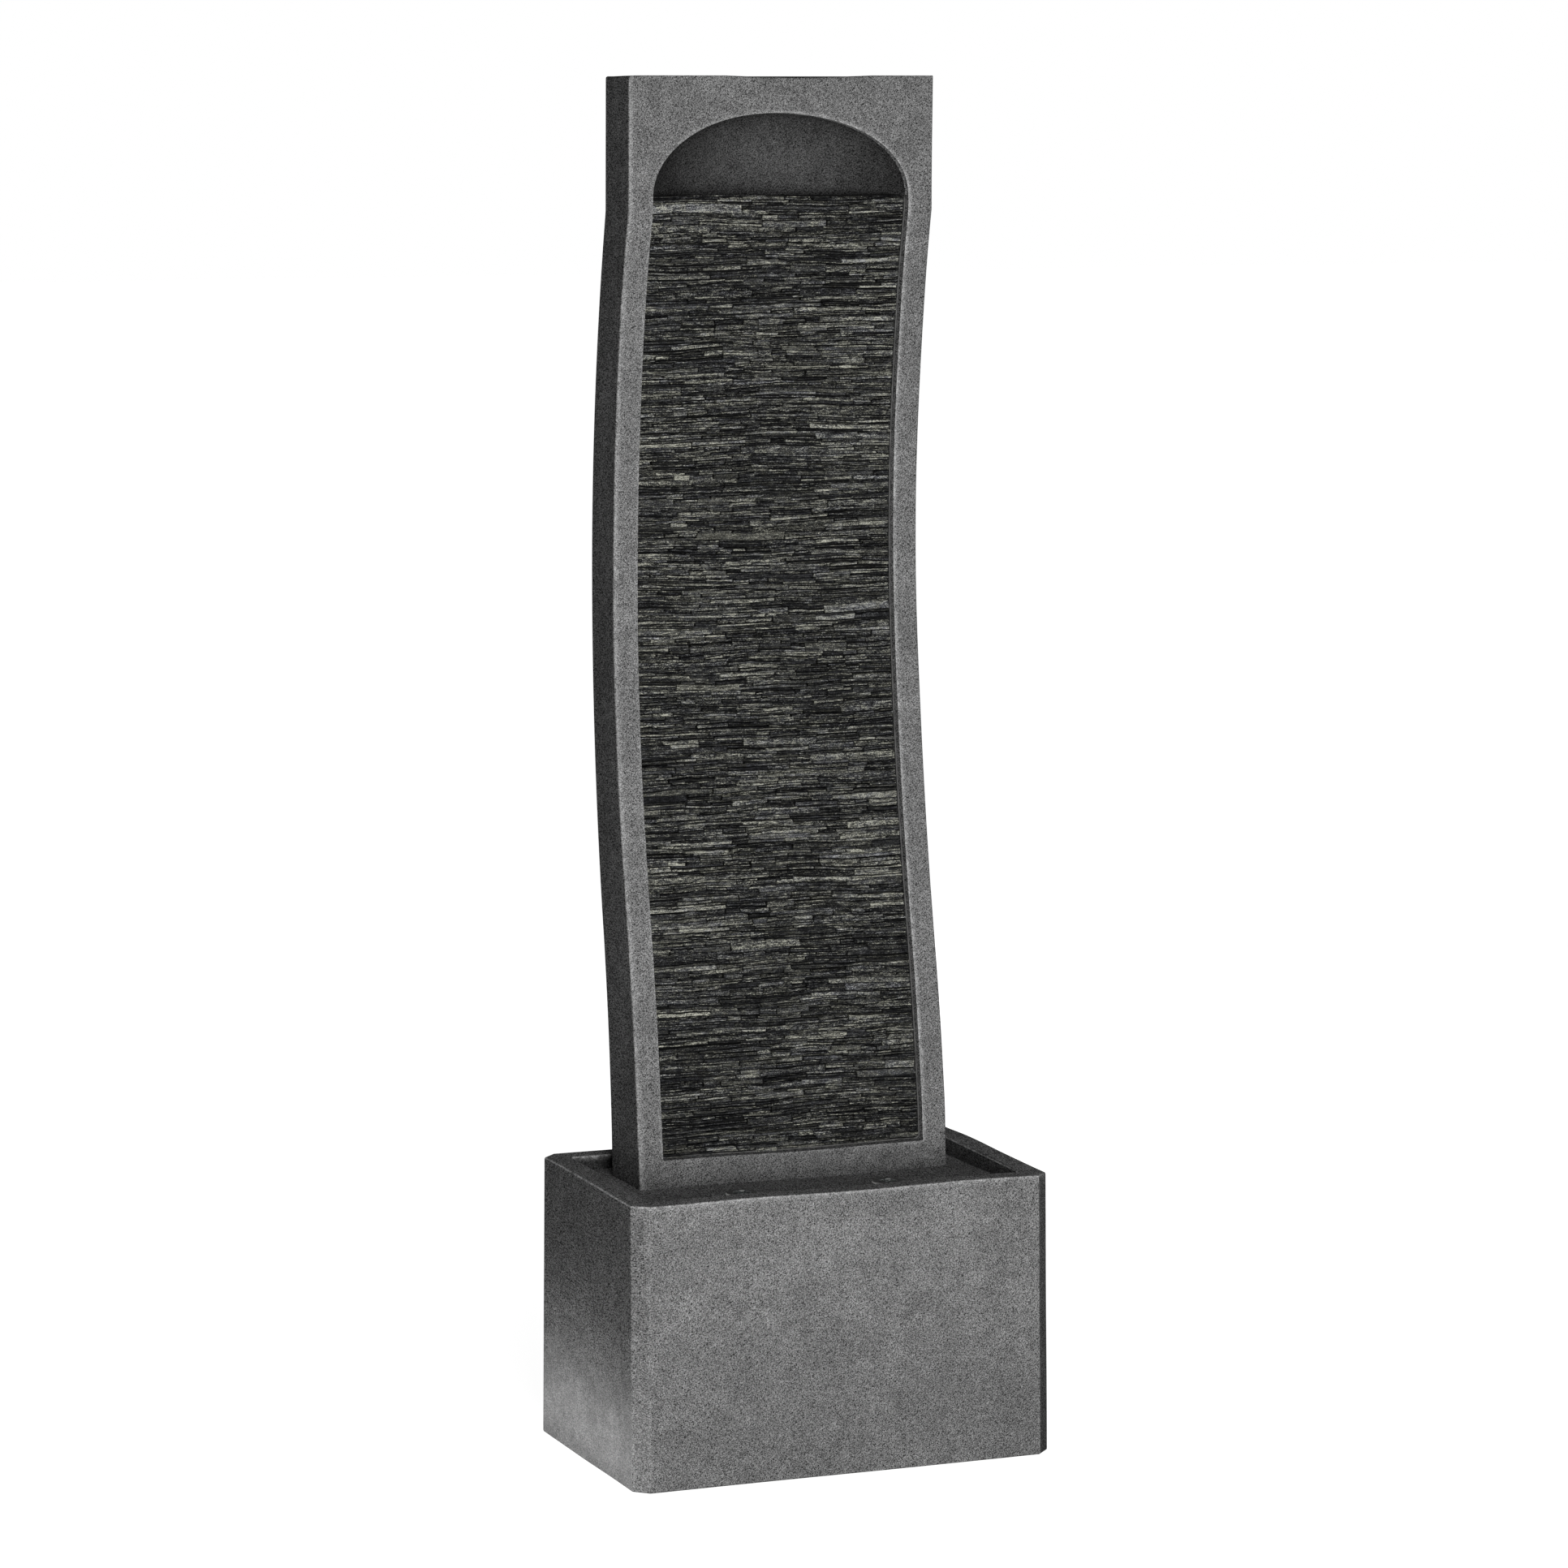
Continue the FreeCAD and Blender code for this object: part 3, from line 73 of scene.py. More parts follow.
def colour(hex_code):
    """A written sRGB colour as the linear one that a shader takes."""
    parts = [int(hex_code[i:i + 2], 16) / 255 for i in (1, 3, 5)]
    linear = [c / 12.92 if c <= 0.04045 else ((c + 0.055) / 1.055) ** 2.4 for c in parts]
    return (*linear, 1.0)


def add_node(tree, kind, inputs=(), out=0, **settings):
    """Adds a shader node and returns one of its outputs, or the node itself where it has none. inputs
    go to its sockets in order, or in a dict by name or number. An output is linked, anything else is
    a value, and (operation, number, number, ...) is a sum, worked out from left to right by nodes of
    its own. MapRange takes a value, the two ends of its range and what they become."""
    made = tree.nodes.new("ShaderNode" + kind)
    for name, value in settings.items():
        setattr(made, name, value)
    for key, value in inputs.items() if isinstance(inputs, dict) else enumerate(inputs):
        if isinstance(value, tuple) and isinstance(value[0], str):
            operation, *numbers = value
            value = add_node(tree, "Math", numbers[:2], operation=operation)
            for number in numbers[2:]:
                value = add_node(tree, "Math", (value, number), operation=operation)
        socket = made.inputs[key]
        if isinstance(value, bpy.types.NodeSocket):
            tree.links.new(value, socket)
        else:
            socket.default_value = value[:3] if socket.type == "VECTOR" else value
    return made.outputs[out] if len(made.outputs) else made


def material(name, finish, *details, **choices):
    """A material from a finish, which is given the function that adds nodes to it. The finish returns
    a shader, or the inputs of a Principled one, with its reliefs from the lowest up, each as a height
    from 0 to 1, how many mm that is, and its strength."""
    made = bpy.data.materials.new(name)
    made.use_nodes = True
    made.node_tree.nodes.clear()
    add = partial(add_node, made.node_tree)
    surface = finish(add, *details, **choices)
    if isinstance(surface, dict):
        normal = {}
        for height, deep, strength in surface.pop("Relief"):
            bump = {"Height": height, "Distance": deep * MM, "Strength": strength, **normal}
            normal = {"Normal": add("Bump", bump)}
        surface = add("BsdfPrincipled", {**surface, **normal})
    add("OutputMaterial", {"Surface": surface})
    return made


def on_piece(add, stretch=None, shift=None):
    """Object coordinates in metres, shifted and then stretched where that is asked for."""
    place = add("TexCoord", out="Object")
    if shift is not None:
        place = add("VectorMath", (place, shift), operation="ADD")
    if stretch is not None:
        place = add("VectorMath", (place, stretch), operation="MULTIPLY")
    return place


def facing(add):
    """Which way the surface looks, as X, Y and Z in the piece's own frame."""
    return add("SeparateXYZ", (add("TexCoord", out="Normal"),)).node.outputs


def drawn_place(add):
    """The point's X, Y and Z in metres as drawn, before the mould's drift, from the piece's attribute."""
    drawn = add("Attribute", out="Vector", attribute_name="drawn")
    return add("SeparateXYZ", (drawn,)).node.outputs


def mottled(add, base, pattern, dark, light):
    """A colour times dark to light, as a pattern goes from 0.3 to 0.7."""
    factor = add("MapRange", (pattern, 0.3, 0.7, dark, light))
    return add("VectorMath", {0: base, "Scale": factor}, operation="SCALE")


# Finishes of the stone

def rubbed_and_highlit_tower(add):
    """How pale the tower's front is made on what looks forward: edge wear and painted highlight, weighted to
    the edges that face left. 0.45 along its left edge, gone 10 mm in, and round the window, gone 7 mm out,
    faint on the left and over the sill and stronger to the right. The distance from the window is from its
    tapered sides and sill, and above them from its arch, an ellipse: the radius less one, times the ellipse's
    own size in that direction."""
    x, _, z = drawn_place(add)
    _, ny, _ = facing(add)
    half_at_floor = (FOOT_HALF + TAPER * DECK_TOP) * MM
    taper = add("Math", (z, TAPER), operation="MULTIPLY")
    wide = add("Math", (x,), operation="ABSOLUTE")
    from_left = ("SUBTRACT", ("ADD", x, half_at_floor), taper)
    left = ("POWER", add("MapRange", (from_left, 0.0, 0.010, 1.0, 0.0)), 1.5)
    beside = ("SUBTRACT", ("ADD", wide, taper), half_at_floor - BORDER * MM)
    straight = ("MAXIMUM", beside, ("SUBTRACT", SILL * MM, z))
    across = add("Math", (wide, ARCH_HALF * MM), operation="DIVIDE")
    square = add("Math", (across, across), operation="MULTIPLY")
    up = add("Math", (("SUBTRACT", z, SPRING * MM), ARCH_RISE * MM), operation="DIVIDE")
    radius = ("SQRT", ("ADD", square, ("MULTIPLY", up, up)))
    size = ("ADD", ("MULTIPLY", square, (ARCH_HALF - ARCH_RISE) * MM), ARCH_RISE * MM)
    round_arch = ("MULTIPLY", ("SUBTRACT", radius, 1.0), size)
    in_arch = add("Math", (z, SPRING * MM), operation="GREATER_THAN")
    away = ("ADD", ("MULTIPLY", in_arch, round_arch), ("MULTIPLY", ("SUBTRACT", 1.0, in_arch), straight))
    window = ("POWER", add("MapRange", (away, 0.0, 0.007, 1.0, 0.0)), 1.4)
    # Painted highlight: the pale edge is stronger where it faces left, as on the window's right side.
    rightward = add("MapRange", (x, -0.186, 0.186, 0.16, 0.58))
    over_sill = add("MapRange", (z, 0.397, 0.402, 0.35, 1.0))
    both = ("MAXIMUM", ("MULTIPLY", left, 0.45), ("MULTIPLY", window, rightward, over_sill))
    return ("MULTIPLY", both, add("MapRange", (ny, -0.90, -0.35, 1.0, 0.0)))


def rubbed_and_highlit_basin(add):
    """How pale the basin is made, by edge wear and painted highlight: the rounded edge of its rim, most where
    it looks left from outside and less where it looks forward, the 9 mm of the front below it, and faintly
    the front's upright corners."""
    nx, ny, nz = facing(add)
    x, _, z = drawn_place(add)
    round_edge = ("MULTIPLY", add("MapRange", (nz, 0.10, 0.40)),
                  add("MapRange", (nz, 0.75, 0.97, 1.0, 0.0)))
    # Painted highlight: stronger where the edge faces left and on the left of the basin.
    leftward = ("MULTIPLY", add("MapRange", (nx, -1.0, 0.0, 1.0, 0.06)),
                add("MapRange", (x, 0.0, 0.1, 1.3, 0.45)))
    towards = ("ADD", leftward, add("MapRange", (ny, -1.0, 0.0, 0.50, 0.0)))
    front = add("MapRange", (ny, -0.90, -0.35, 1.0, 0.0))
    below = ("POWER", add("MapRange", (z, (RIM_TOP - 9) * MM, RIM_TOP * MM)), 1.5)
    from_corner = ("ABSOLUTE", ("SUBTRACT", ("ABSOLUTE", x), 0.2785))
    corner = add("MapRange", (from_corner, 0.0, 0.004, 0.12, 0.0))
    line = ("MAXIMUM", ("MULTIPLY", below, 0.42), corner)
    return ("MAXIMUM", ("MULTIPLY", round_edge, towards), ("MULTIPLY", front, line))


def rubbed_lightly(add):
    """A little paleness on the rounded edges of the pieces at the back."""
    _, ny, _ = facing(add)
    slant = add("Math", (ny,), operation="ABSOLUTE")
    return ("MULTIPLY", add("MapRange", (slant, 0.10, 0.40, 0.0, 0.25)),
            add("MapRange", (slant, 0.75, 0.97, 1.0, 0.0)))


def basin_stains_and_shade(add, place, mottle, tone):
    """The basin's tone, from its mottle alone and its tone with the sand: painted shade inside its well, most
    on the wall that looks forward, and on the right front chamfer; darker to the foot; and with less of the
    sand at the foot of the left side."""
    _, _, z = add("SeparateXYZ", (place,)).node.outputs
    nx, ny, _ = facing(add)
    inner = add("VectorMath", (place,), operation="ABSOLUTE")
    inner = add("VectorMath", (inner, (WELL_X * MM, WELL_Y * MM, 1.0)), operation="DIVIDE")
    across, deep, _ = add("SeparateXYZ", (inner,)).node.outputs
    # Painted shade inside the well, darkest on its back wall.
    wall = add("MapRange", (ny, -0.80, -0.50, 0.15, 0.30))
    well = add("MapRange", (("MAXIMUM", across, deep), 1.005, 1.012, wall, 1.0))
    foot = add("MapRange", (z, 0.0, 0.30, 0.86, 1.0), interpolation_type="SMOOTHSTEP")
    # Painted shade on the right front chamfer.
    chamfer = ("MULTIPLY", add("MapRange", (nx, 0.35, 0.60)),
               add("MapRange", (ny, -0.60, -0.35, 1.0, 0.0)))
    tone = ("MULTIPLY", tone, well, foot, add("MapRange", (chamfer, 0.0, 1.0, 1.0, 0.5)))
    low = add("MapRange", (z, 0.07, 0.22, 0.60, 0.0), interpolation_type="SMOOTHSTEP")
    calm = add("Math", (add("MapRange", (nx, -0.90, -0.60, 1.0, 0.0)), low), operation="MULTIPLY")
    return ("ADD", ("MULTIPLY", tone, ("SUBTRACT", 1.0, calm)), ("MULTIPLY", mottle, calm))


def tower_foot_shade(add, place, mottle, tone):
    """The tower's tone: painted shade, dark at its foot by the deck."""
    _, _, z = add("SeparateXYZ", (place,)).node.outputs
    return ("MULTIPLY", tone, add("MapRange", (z, 0.366, 0.420, 0.50, 1.0)))


def deck_painted_shadow(add, place, mottle, tone):
    """The deck's tone: a painted shadow, dark in a wedge along its right side that widens to the back."""
    x, y, _ = add("SeparateXYZ", (place,)).node.outputs
    from_painted_shadow = ("SUBTRACT", WELL_X * MM, x, ("MULTIPLY", ("ADD", y, 0.150), 0.048))
    return ("MULTIPLY", tone, add("MapRange", (from_painted_shadow, -0.001, 0.002, 0.30, 1.0)))


def bowl_painted_shade(add, place, mottle, tone):
    """The recess's tone: painted shade, pale in the middle and dark towards its rim."""
    middle, reach = (0.012, 0.0, 1.715), (0.182, 9.0, 0.105)
    away = add("VectorMath", (place, middle), operation="SUBTRACT")
    away = add("VectorMath", (away, reach), operation="DIVIDE")
    away = add("VectorMath", (away,), "Value", operation="LENGTH")
    return ("MULTIPLY", tone, add("MapRange", (away, 0.10, 1.02, 1.20, 0.40),
                                  interpolation_type="SMOOTHSTEP"))


def cast_stone(add, face, wear_and_highlight=None, stains=None):
    """Cast stone: glass-fibre concrete with a sandblasted face. Grey cement, dark and light sand grains a
    millimetre across, soft clouds from the mould, the piece's own changes of tone over them, which are mostly
    painted shade, and edges made pale as far as its pale-edge function says, by wear and on the tower and
    basin by painted highlight. The grains are drawn out to three times their size in depth."""
    place = on_piece(add)
    clouds = add("TexNoise", {"Vector": place, "Scale": 13, "Detail": 3.0, "Roughness": 0.60})
    blots = add("TexNoise", {"Vector": place, "Scale": 55, "Detail": 3.0, "Roughness": 0.65})
    clouds = add("MapRange", (clouds, 0.3, 0.7, 0.88, 1.12))
    mottle = add("Math", (clouds, add("MapRange", (blots, 0.3, 0.7, 0.84, 1.16))), operation="MULTIPLY")
    # The sand's coordinates are turned, so that no flat face lies along the noise's own grid.
    sand = add("Mapping", {"Vector": on_piece(add, (1.0, 0.35, 1.0)), "Rotation": (0.61, 0.52, 0.37)})
    grains = add("TexNoise", {"Vector": sand, "Scale": 640, "Detail": 1.0, "Distortion": 0.4})
    pits = add("TexNoise", {"Vector": sand, "Scale": 1150, "Detail": 0.0})
    mixed = ("ADD", ("MULTIPLY", grains, 0.6), ("MULTIPLY", pits, 0.4))
    speckle = ("MAXIMUM", add("MapRange", (mixed, 0.32, 0.68, -0.25, 2.25)), 0.06)
    tone = ("MULTIPLY", mottle, speckle)
    if stains:
        tone = stains(add, place, mottle, tone)
    base = add("VectorMath", {0: colour(face), "Scale": tone}, operation="SCALE")
    if wear_and_highlight:
        patchy = add("TexNoise", {"Vector": place, "Scale": 90, "Detail": 4.0, "Roughness": 0.7})
        uneven = add("MapRange", (patchy, 0.35, 0.65, 0.25, 1.45))
        pale_edge_share = add("Math", (wear_and_highlight(add), uneven), operation="MULTIPLY", use_clamp=True)
        bright = add("MapRange", (grains, 0.32, 0.68, 0.55, 1.35))
        if stains is tower_foot_shade:      # the painted shade at the foot lies over the pale edges too
            bright = tower_foot_shade(add, place, mottle, bright)
        # Pale edge colour: wear, and on the tower and basin a painted highlight.
        pale_edge_colour = add("VectorMath", {0: colour("#c4c4c4"), "Scale": bright}, operation="SCALE")
        base = add("Mix", {0: pale_edge_share, 6: base, 7: pale_edge_colour}, 2, data_type="RGBA")
    slow = add("TexNoise", {"Vector": place, "Scale": 16, "Detail": 1.0})
    return {"Base Color": base, "Roughness": 0.9, "Specular IOR Level": 0.0,
            "Relief": [(slow, 1.6, 0.6), (grains, 0.5, 0.8)]}


def split_slate(add):
    """Slate split by hand: near-black beds with pale lichen-grey streaks along the bed, crumbly where it
    broke. The tone is a power of a sum: the stone's own step, streaks a millimetre high, flakes, crumbs and
    slow patches. So most of it is near black, and only where all meet is it pale. Dark places lean blue and
    pale ones a little yellow. Each stone's step, lean, strength and place in the pattern come from its
    attribute, and another says where it is an edge in a joint, which is darkened there as dirt and painted
    shade."""
    own = add("Attribute", out="Color", attribute_name="stone")
    step, lean, strong = add("SeparateColor", (own,)).node.outputs
    start = own.node.outputs["Alpha"]
    shift = add("CombineXYZ", (("MULTIPLY", start, 7.3), 0.0, ("MULTIPLY", start, 3.1)))
    layers = []
    for stretch, scale, detail, warp in (((1.0, 1.0, 12.0), 80, 3.0, 0.5),      # streaks
                                         ((1.0, 1.0, 3.2), 300, 2.0, 0.6),      # flakes
                                         ((0.8, 1.0, 1.2), 800, 1.0, 0.5),      # crumbs
                                         ((1.0, 1.0, 5.0), 34, 3.0, 0.8),       # slow patches
                                         ((1.0, 1.0, 2.0), 60, 2.0, 0.5)):      # lean to blue
        layer = add("TexNoise", {"Vector": on_piece(add, stretch, shift), "Scale": scale,
                                 "Detail": detail, "Roughness": 0.62, "Distortion": warp})
        layers.append(add("MapRange", (layer, 0.32, 0.68, -1.0, 1.0)))
    streaks, flakes, crumbs, patches, bluish = layers
    total = ("ADD", ("MULTIPLY", streaks, 0.55), ("MULTIPLY", flakes, 0.38), ("MULTIPLY", crumbs, 0.50),
             ("MULTIPLY", patches, 0.30))
    total = ("MULTIPLY", total, add("MapRange", (strong, 0.0, 1.0, 0.65, 1.35)))
    total = add("Math", (total, add("MapRange", (step, 0.0, 1.0, -0.62, 0.56))), operation="ADD")
    warm = ("ADD", ("MULTIPLY", total, 0.60), ("MULTIPLY", bluish, -0.40))
    warm = add("Math", (warm, lean), operation="ADD", use_clamp=True)
    hue = add("Mix", {0: warm, 6: colour("#4c4d50"), 7: colour("#4f4f49")}, 2, data_type="RGBA")
    # The joint sides of each stone are darkened: dirt and painted shade.
    edge = add("Attribute", out="Fac", attribute_name="edge")
    factor = ("MULTIPLY", ("MINIMUM", ("POWER", 11.5, total), 8.5),
              add("MapRange", (edge, 0.0, 1.0, 1.0, 0.12)))
    base = add("VectorMath", {0: hue, "Scale": factor}, operation="SCALE")
    return {"Base Color": base, "Roughness": 0.6, "Specular IOR Level": 0.06,
            "Relief": [(streaks, 1.2, 0.7), (crumbs, 0.4, 0.7)]}


def bonding_mortar(add):
    """The cement bed behind the slate, near black as painted shade, seen only as shadow in the joints."""
    lumps = add("TexNoise", {"Vector": on_piece(add), "Scale": 300, "Roughness": 0.6})
    return {"Base Color": mottled(add, colour("#1b1b1b"), lumps, 0.6, 1.4), "Roughness": 0.95,
            "Specular IOR Level": 0.05, "Relief": [(lumps, 0.8, 1.0)]}


# Curved faces of the tower, as the part's own drawing has them, in mm

def bowed(z, foot, turn_z, lower_r, deepest, upper_r, block_y):
    """Distance back of a bowed face at height z: an arc from the foot, a hollow arc below and one above
    the deepest height, then the upright block. foot is the first arc's radius, its y at the deck and
    its lean there in degrees."""
    z = np.asarray(z, dtype=float)
    deep_y, deep_z = deepest
    radius, foot_y, lean = foot
    centre_y = foot_y + radius * math.cos(math.radians(lean))
    centre_z = DECK_TOP - radius * math.sin(math.radians(lean))
    low = centre_y - np.sqrt(np.maximum(radius ** 2 - (z - centre_z) ** 2, 0))
    mid = deep_y - lower_r + np.sqrt(np.maximum(lower_r ** 2 - (z - deep_z) ** 2, 0))
    high = deep_y - upper_r + np.sqrt(np.maximum(upper_r ** 2 - (z - deep_z) ** 2, 0))
    y = np.where(z < turn_z, low, np.where(z < deep_z, mid, high))
    return np.where(z >= SPRING - 20.0, block_y, y)


def front_face(z):
    """The tower's front at height z."""
    return bowed(z, (3799.1, -7.0, 5.9), 721.06, 2606.7, (98.8, 1235.4), 1640.0, 45.0)


def half_width(z):
    """Half the tower's width at height z: a straight taper."""
    return FOOT_HALF - NARROWING * (np.asarray(z, dtype=float) - DECK_TOP) / (TOWER_TOP - DECK_TOP)


def back_face(z):
    """The tower's back at height z, and the basin's back wall below its rim."""
    y = bowed(z, (2380.1, 101.9, 2.4), 700.25, 2627.5, (185.3, 1183.7), 2180.0, 134.4)
    return np.where(np.asarray(z) < RIM_TOP + 0.5, 191.4, y)


# The mould's nine slow waves: which way each runs, its length in mm, its start and its push
WAVES = np.random.default_rng(12)
WAVE_WAY = WAVES.normal(size=(9, 3))
WAVE_WAY /= np.linalg.norm(WAVE_WAY, axis=1, keepdims=True)
WAVE_LENGTH = WAVES.uniform(110, 420, 9)
WAVE_START = WAVES.uniform(0, 2 * math.pi, 9)
WAVE_PUSH = WAVES.normal(size=(9, 3)) * 0.34 * (WAVE_LENGTH / 260)[:, None]


def mould_drift(points):
    """How a hand-laid mould drifts from its drawing: each point in mm is moved by nine slow sine waves,
    110 to 420 mm long, a millimetre at the most, and the tower's right side stands out by one long
    wave more. It fades out towards the back and the floor, where fitted pieces sit, and nothing leaves
    the drawing's own box."""
    points = np.asarray(points, dtype=float)
    x, y, z = points.T
    phase = points @ WAVE_WAY.T / WAVE_LENGTH * 2 * math.pi + WAVE_START
    push = np.sin(phase) @ WAVE_PUSH
    inside = np.clip((back_face(z) - 14 - y) / 50, 0, 1)
    inside = inside * inside * (3 - 2 * inside)
    topmost = np.clip((z - 1785) / 45, 0, 1)
    push *= inside[:, None]
    push[:, 2] *= np.clip(z / 60, 0, 1)
    push[:, 2] = push[:, 2] * (1 + 0.5 * topmost) - 1.3 * topmost
    right = np.clip(x / 220, 0, 1) ** 2 * np.clip((z - RIM_TOP) / 60, 0, 1)
    swell = 1.2 + 0.9 * np.cos((z - 955) / 476 * 2 * math.pi)
    push[:, 0] += right * swell * inside
    low, high = np.array(cad_low) / MM, np.array(cad_high) / MM
    return np.clip(points + push, low, high)


# Stone shells

def put(name, data):
    """A new object of the scene with this mesh, light or camera."""
    made = bpy.data.objects.new(name, data)
    bpy.context.scene.collection.objects.link(made)
    return made


LONGEST_EDGE = 24.0       # short enough to follow the mould's drift


def halve_long_edges(shape, longest):
    """Splits edges of a triangle mesh in half, the longest first and never two of one triangle in one
    round, until none is longer than longest. Each split triangle becomes two, by a line from the new
    point to the far corner."""
    while True:
        long_edges = [(edge.calc_length(), edge.index, edge) for edge in shape.edges]
        long_edges = sorted([entry for entry in long_edges if entry[0] > longest], reverse=True)
        if not long_edges:
            break
        taken = set()
        for _, _, edge in long_edges:
            beside = list(edge.link_faces)
            if any(face in taken for face in beside):
                continue
            far = [(face, next(v for v in face.verts if v not in edge.verts)) for face in beside]
            _, middle = bmesh.utils.edge_split(edge, edge.verts[0], 0.5)
            for face, corner in far:
                other, _ = bmesh.utils.face_split(face, middle, corner)
                taken.update((face, other))
        shape.edges.index_update()


def round_window(shape):
    """Rounds the sharp edge of the tower's front opening over 1.9 mm, once the flat faces are merged."""
    near = [v for v in shape.verts if abs(v.co.x) < 0.206 and v.co.z > 0.384
            and v.co.y / MM < float(front_face(v.co.z / MM)) + 40]
    inner = set(near)
    between = [e for e in shape.edges if e.verts[0] in inner and e.verts[1] in inner]
    bmesh.ops.dissolve_limit(shape, angle_limit=math.radians(0.2), verts=near, edges=between)
    rim = []
    for edge in shape.edges:
        if len(edge.link_faces) == 2 and edge.is_convex and edge.calc_face_angle() > 0.8:
            spot = (edge.verts[0].co + edge.verts[1].co) / 2 / MM
            if spot.z > 390 and abs(spot.x) < 200 and abs(spot.y - float(front_face(spot.z))) < 1.2:
                rim.append(edge)
    bmesh.ops.bevel(shape, geom=rim, offset=1.9 * MM, offset_type="OFFSET", segments=3, profile=0.5,
                    affect="EDGES", clamp_overlap=True)


def stone_shell(node, body, finish):
    """A copy of a moulded shell, merged, and the tower's with a rounded window. Long edges are halved
    until they can follow the mould's drift, and each point keeps its drawn place."""
    mesh = nodes[node].data.copy()
    mesh.name = node + "_stone"
    shape = bmesh.new()
    shape.from_mesh(mesh)
    bmesh.ops.remove_doubles(shape, verts=shape.verts, dist=0.004 * MM)
    if node == "tower_front":
        round_window(shape)
    bmesh.ops.triangulate(shape, faces=shape.faces)
    halve_long_edges(shape, LONGEST_EDGE * MM)
    shape.to_mesh(mesh)
    shape.free()
    if "custom_normal" in mesh.attributes:
        mesh.attributes.remove(mesh.attributes["custom_normal"])
    points = np.empty(len(mesh.vertices) * 3)
    mesh.vertices.foreach_get("co", points)
    drawn = mesh.attributes.new("drawn", "FLOAT_VECTOR", "POINT")
    drawn.data.foreach_set("vector", points.astype(np.float32))
    drifted = mould_drift(points.reshape(-1, 3) / MM) * MM
    mesh.vertices.foreach_set("co", drifted.ravel())
    mesh.materials.clear()
    mesh.materials.append(finish)
    made = put(node + "_stone", mesh)
    mesh.shade_smooth()
    mesh.set_sharp_from_angle(angle=math.radians(44))
    even = made.modifiers.new("even_shading", "WEIGHTED_NORMAL")
    even.keep_sharp = True
    even.weight = 60
    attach(made, body)
    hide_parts(node)


# Slate wall

PANELS, COURSES = 8, 42            # panels, and beds to a panel
PANEL_HIGH = (SPRING - SILL) / PANELS
WALL_HALF, COLUMNS = 187.5, 94     # the grid that bed lines are drawn on, a little wider than the wall
STATIONS, RING = 8, 6              # a stone's rings of points along it, and points to a ring
STONE_POINTS = STATIONS * RING
SET_BACK, STONE_BACK = 11.0, 19.5  # behind the front curve: the stones' faces and their backs
MORTAR_FRONT, MORTAR_BACK = 19.0, 25.8
BEAD_IN = 1.4                      # how far the sealant's middle is inside the frame
luck = np.random.default_rng(41)


def smooth_rows(values, along, across):
    """Gaussian blur of a table, along its rows and across them, in steps of its grid."""
    for axis, width in ((1, along), (0, across)):
        if width > 0:
            reach = int(3 * width) + 1
            weights = np.exp(-0.5 * (np.arange(-reach, reach + 1) / width) ** 2)
            padding = [(0, 0), (0, 0)]
            padding[axis] = (reach, reach)
            padded = np.pad(values, padding, mode="reflect")
            values = np.apply_along_axis(np.convolve, axis, padded, weights / weights.sum(), "valid")
    return values


def ring_faces(stations, around, inside_out=False):
    """The faces between rings of points, of which each station has one with around points."""
    s, r = (grid.ravel() for grid in np.indices((stations - 1, around)))
    low, beside = s * around + r, s * around + (r + 1) % around
    faces = np.stack([low, low + around, beside + around, beside], 1)
    return faces[:, [0, 3, 2, 1]] if inside_out else faces


def bed_lines():
    """Heights of all bed lines on a grid across the wall. Each panel's beds get random shares of its
    height, and every line wanders by blurred noise, kept in order with a least bed of 1.7 mm."""
    total = PANELS * COURSES
    thick = luck.choice([0.6, 0.8, 1.0, 1.35, 1.8], size=(PANELS, COURSES), p=[0.2, 0.25, 0.25, 0.18, 0.12])
    thick = thick / thick.sum(1, keepdims=True) * (SPRING - SILL) / PANELS
    rest = np.concatenate([[0.0], np.cumsum(thick.ravel())]) + SILL
    slow = smooth_rows(luck.normal(size=(total + 1, COLUMNS)), 10.0, 4.0)
    quick = smooth_rows(luck.normal(size=(total + 1, COLUMNS)), 3.0, 0.6)
    wander = slow / slow.std() * 1.5 + quick / quick.std() * 0.55
    ends = np.ones(total + 1)
    ends[0] = ends[-1] = 0.0
    ends[1:9] = ends[-9:-1][::-1] = np.linspace(0.12, 0.95, 8)
    lines = rest[:, None] + wander * ends[:, None]
    for i in range(1, total + 1):
        lines[i] = np.maximum(lines[i], lines[i - 1] + 1.7)
    over = np.maximum(lines[-1].max() - (SPRING - 0.3), 0)
    lines[-1] -= over
    for i in range(total - 1, -1, -1):
        lines[i] = np.minimum(lines[i], lines[i + 1] - 1.5)
    return lines


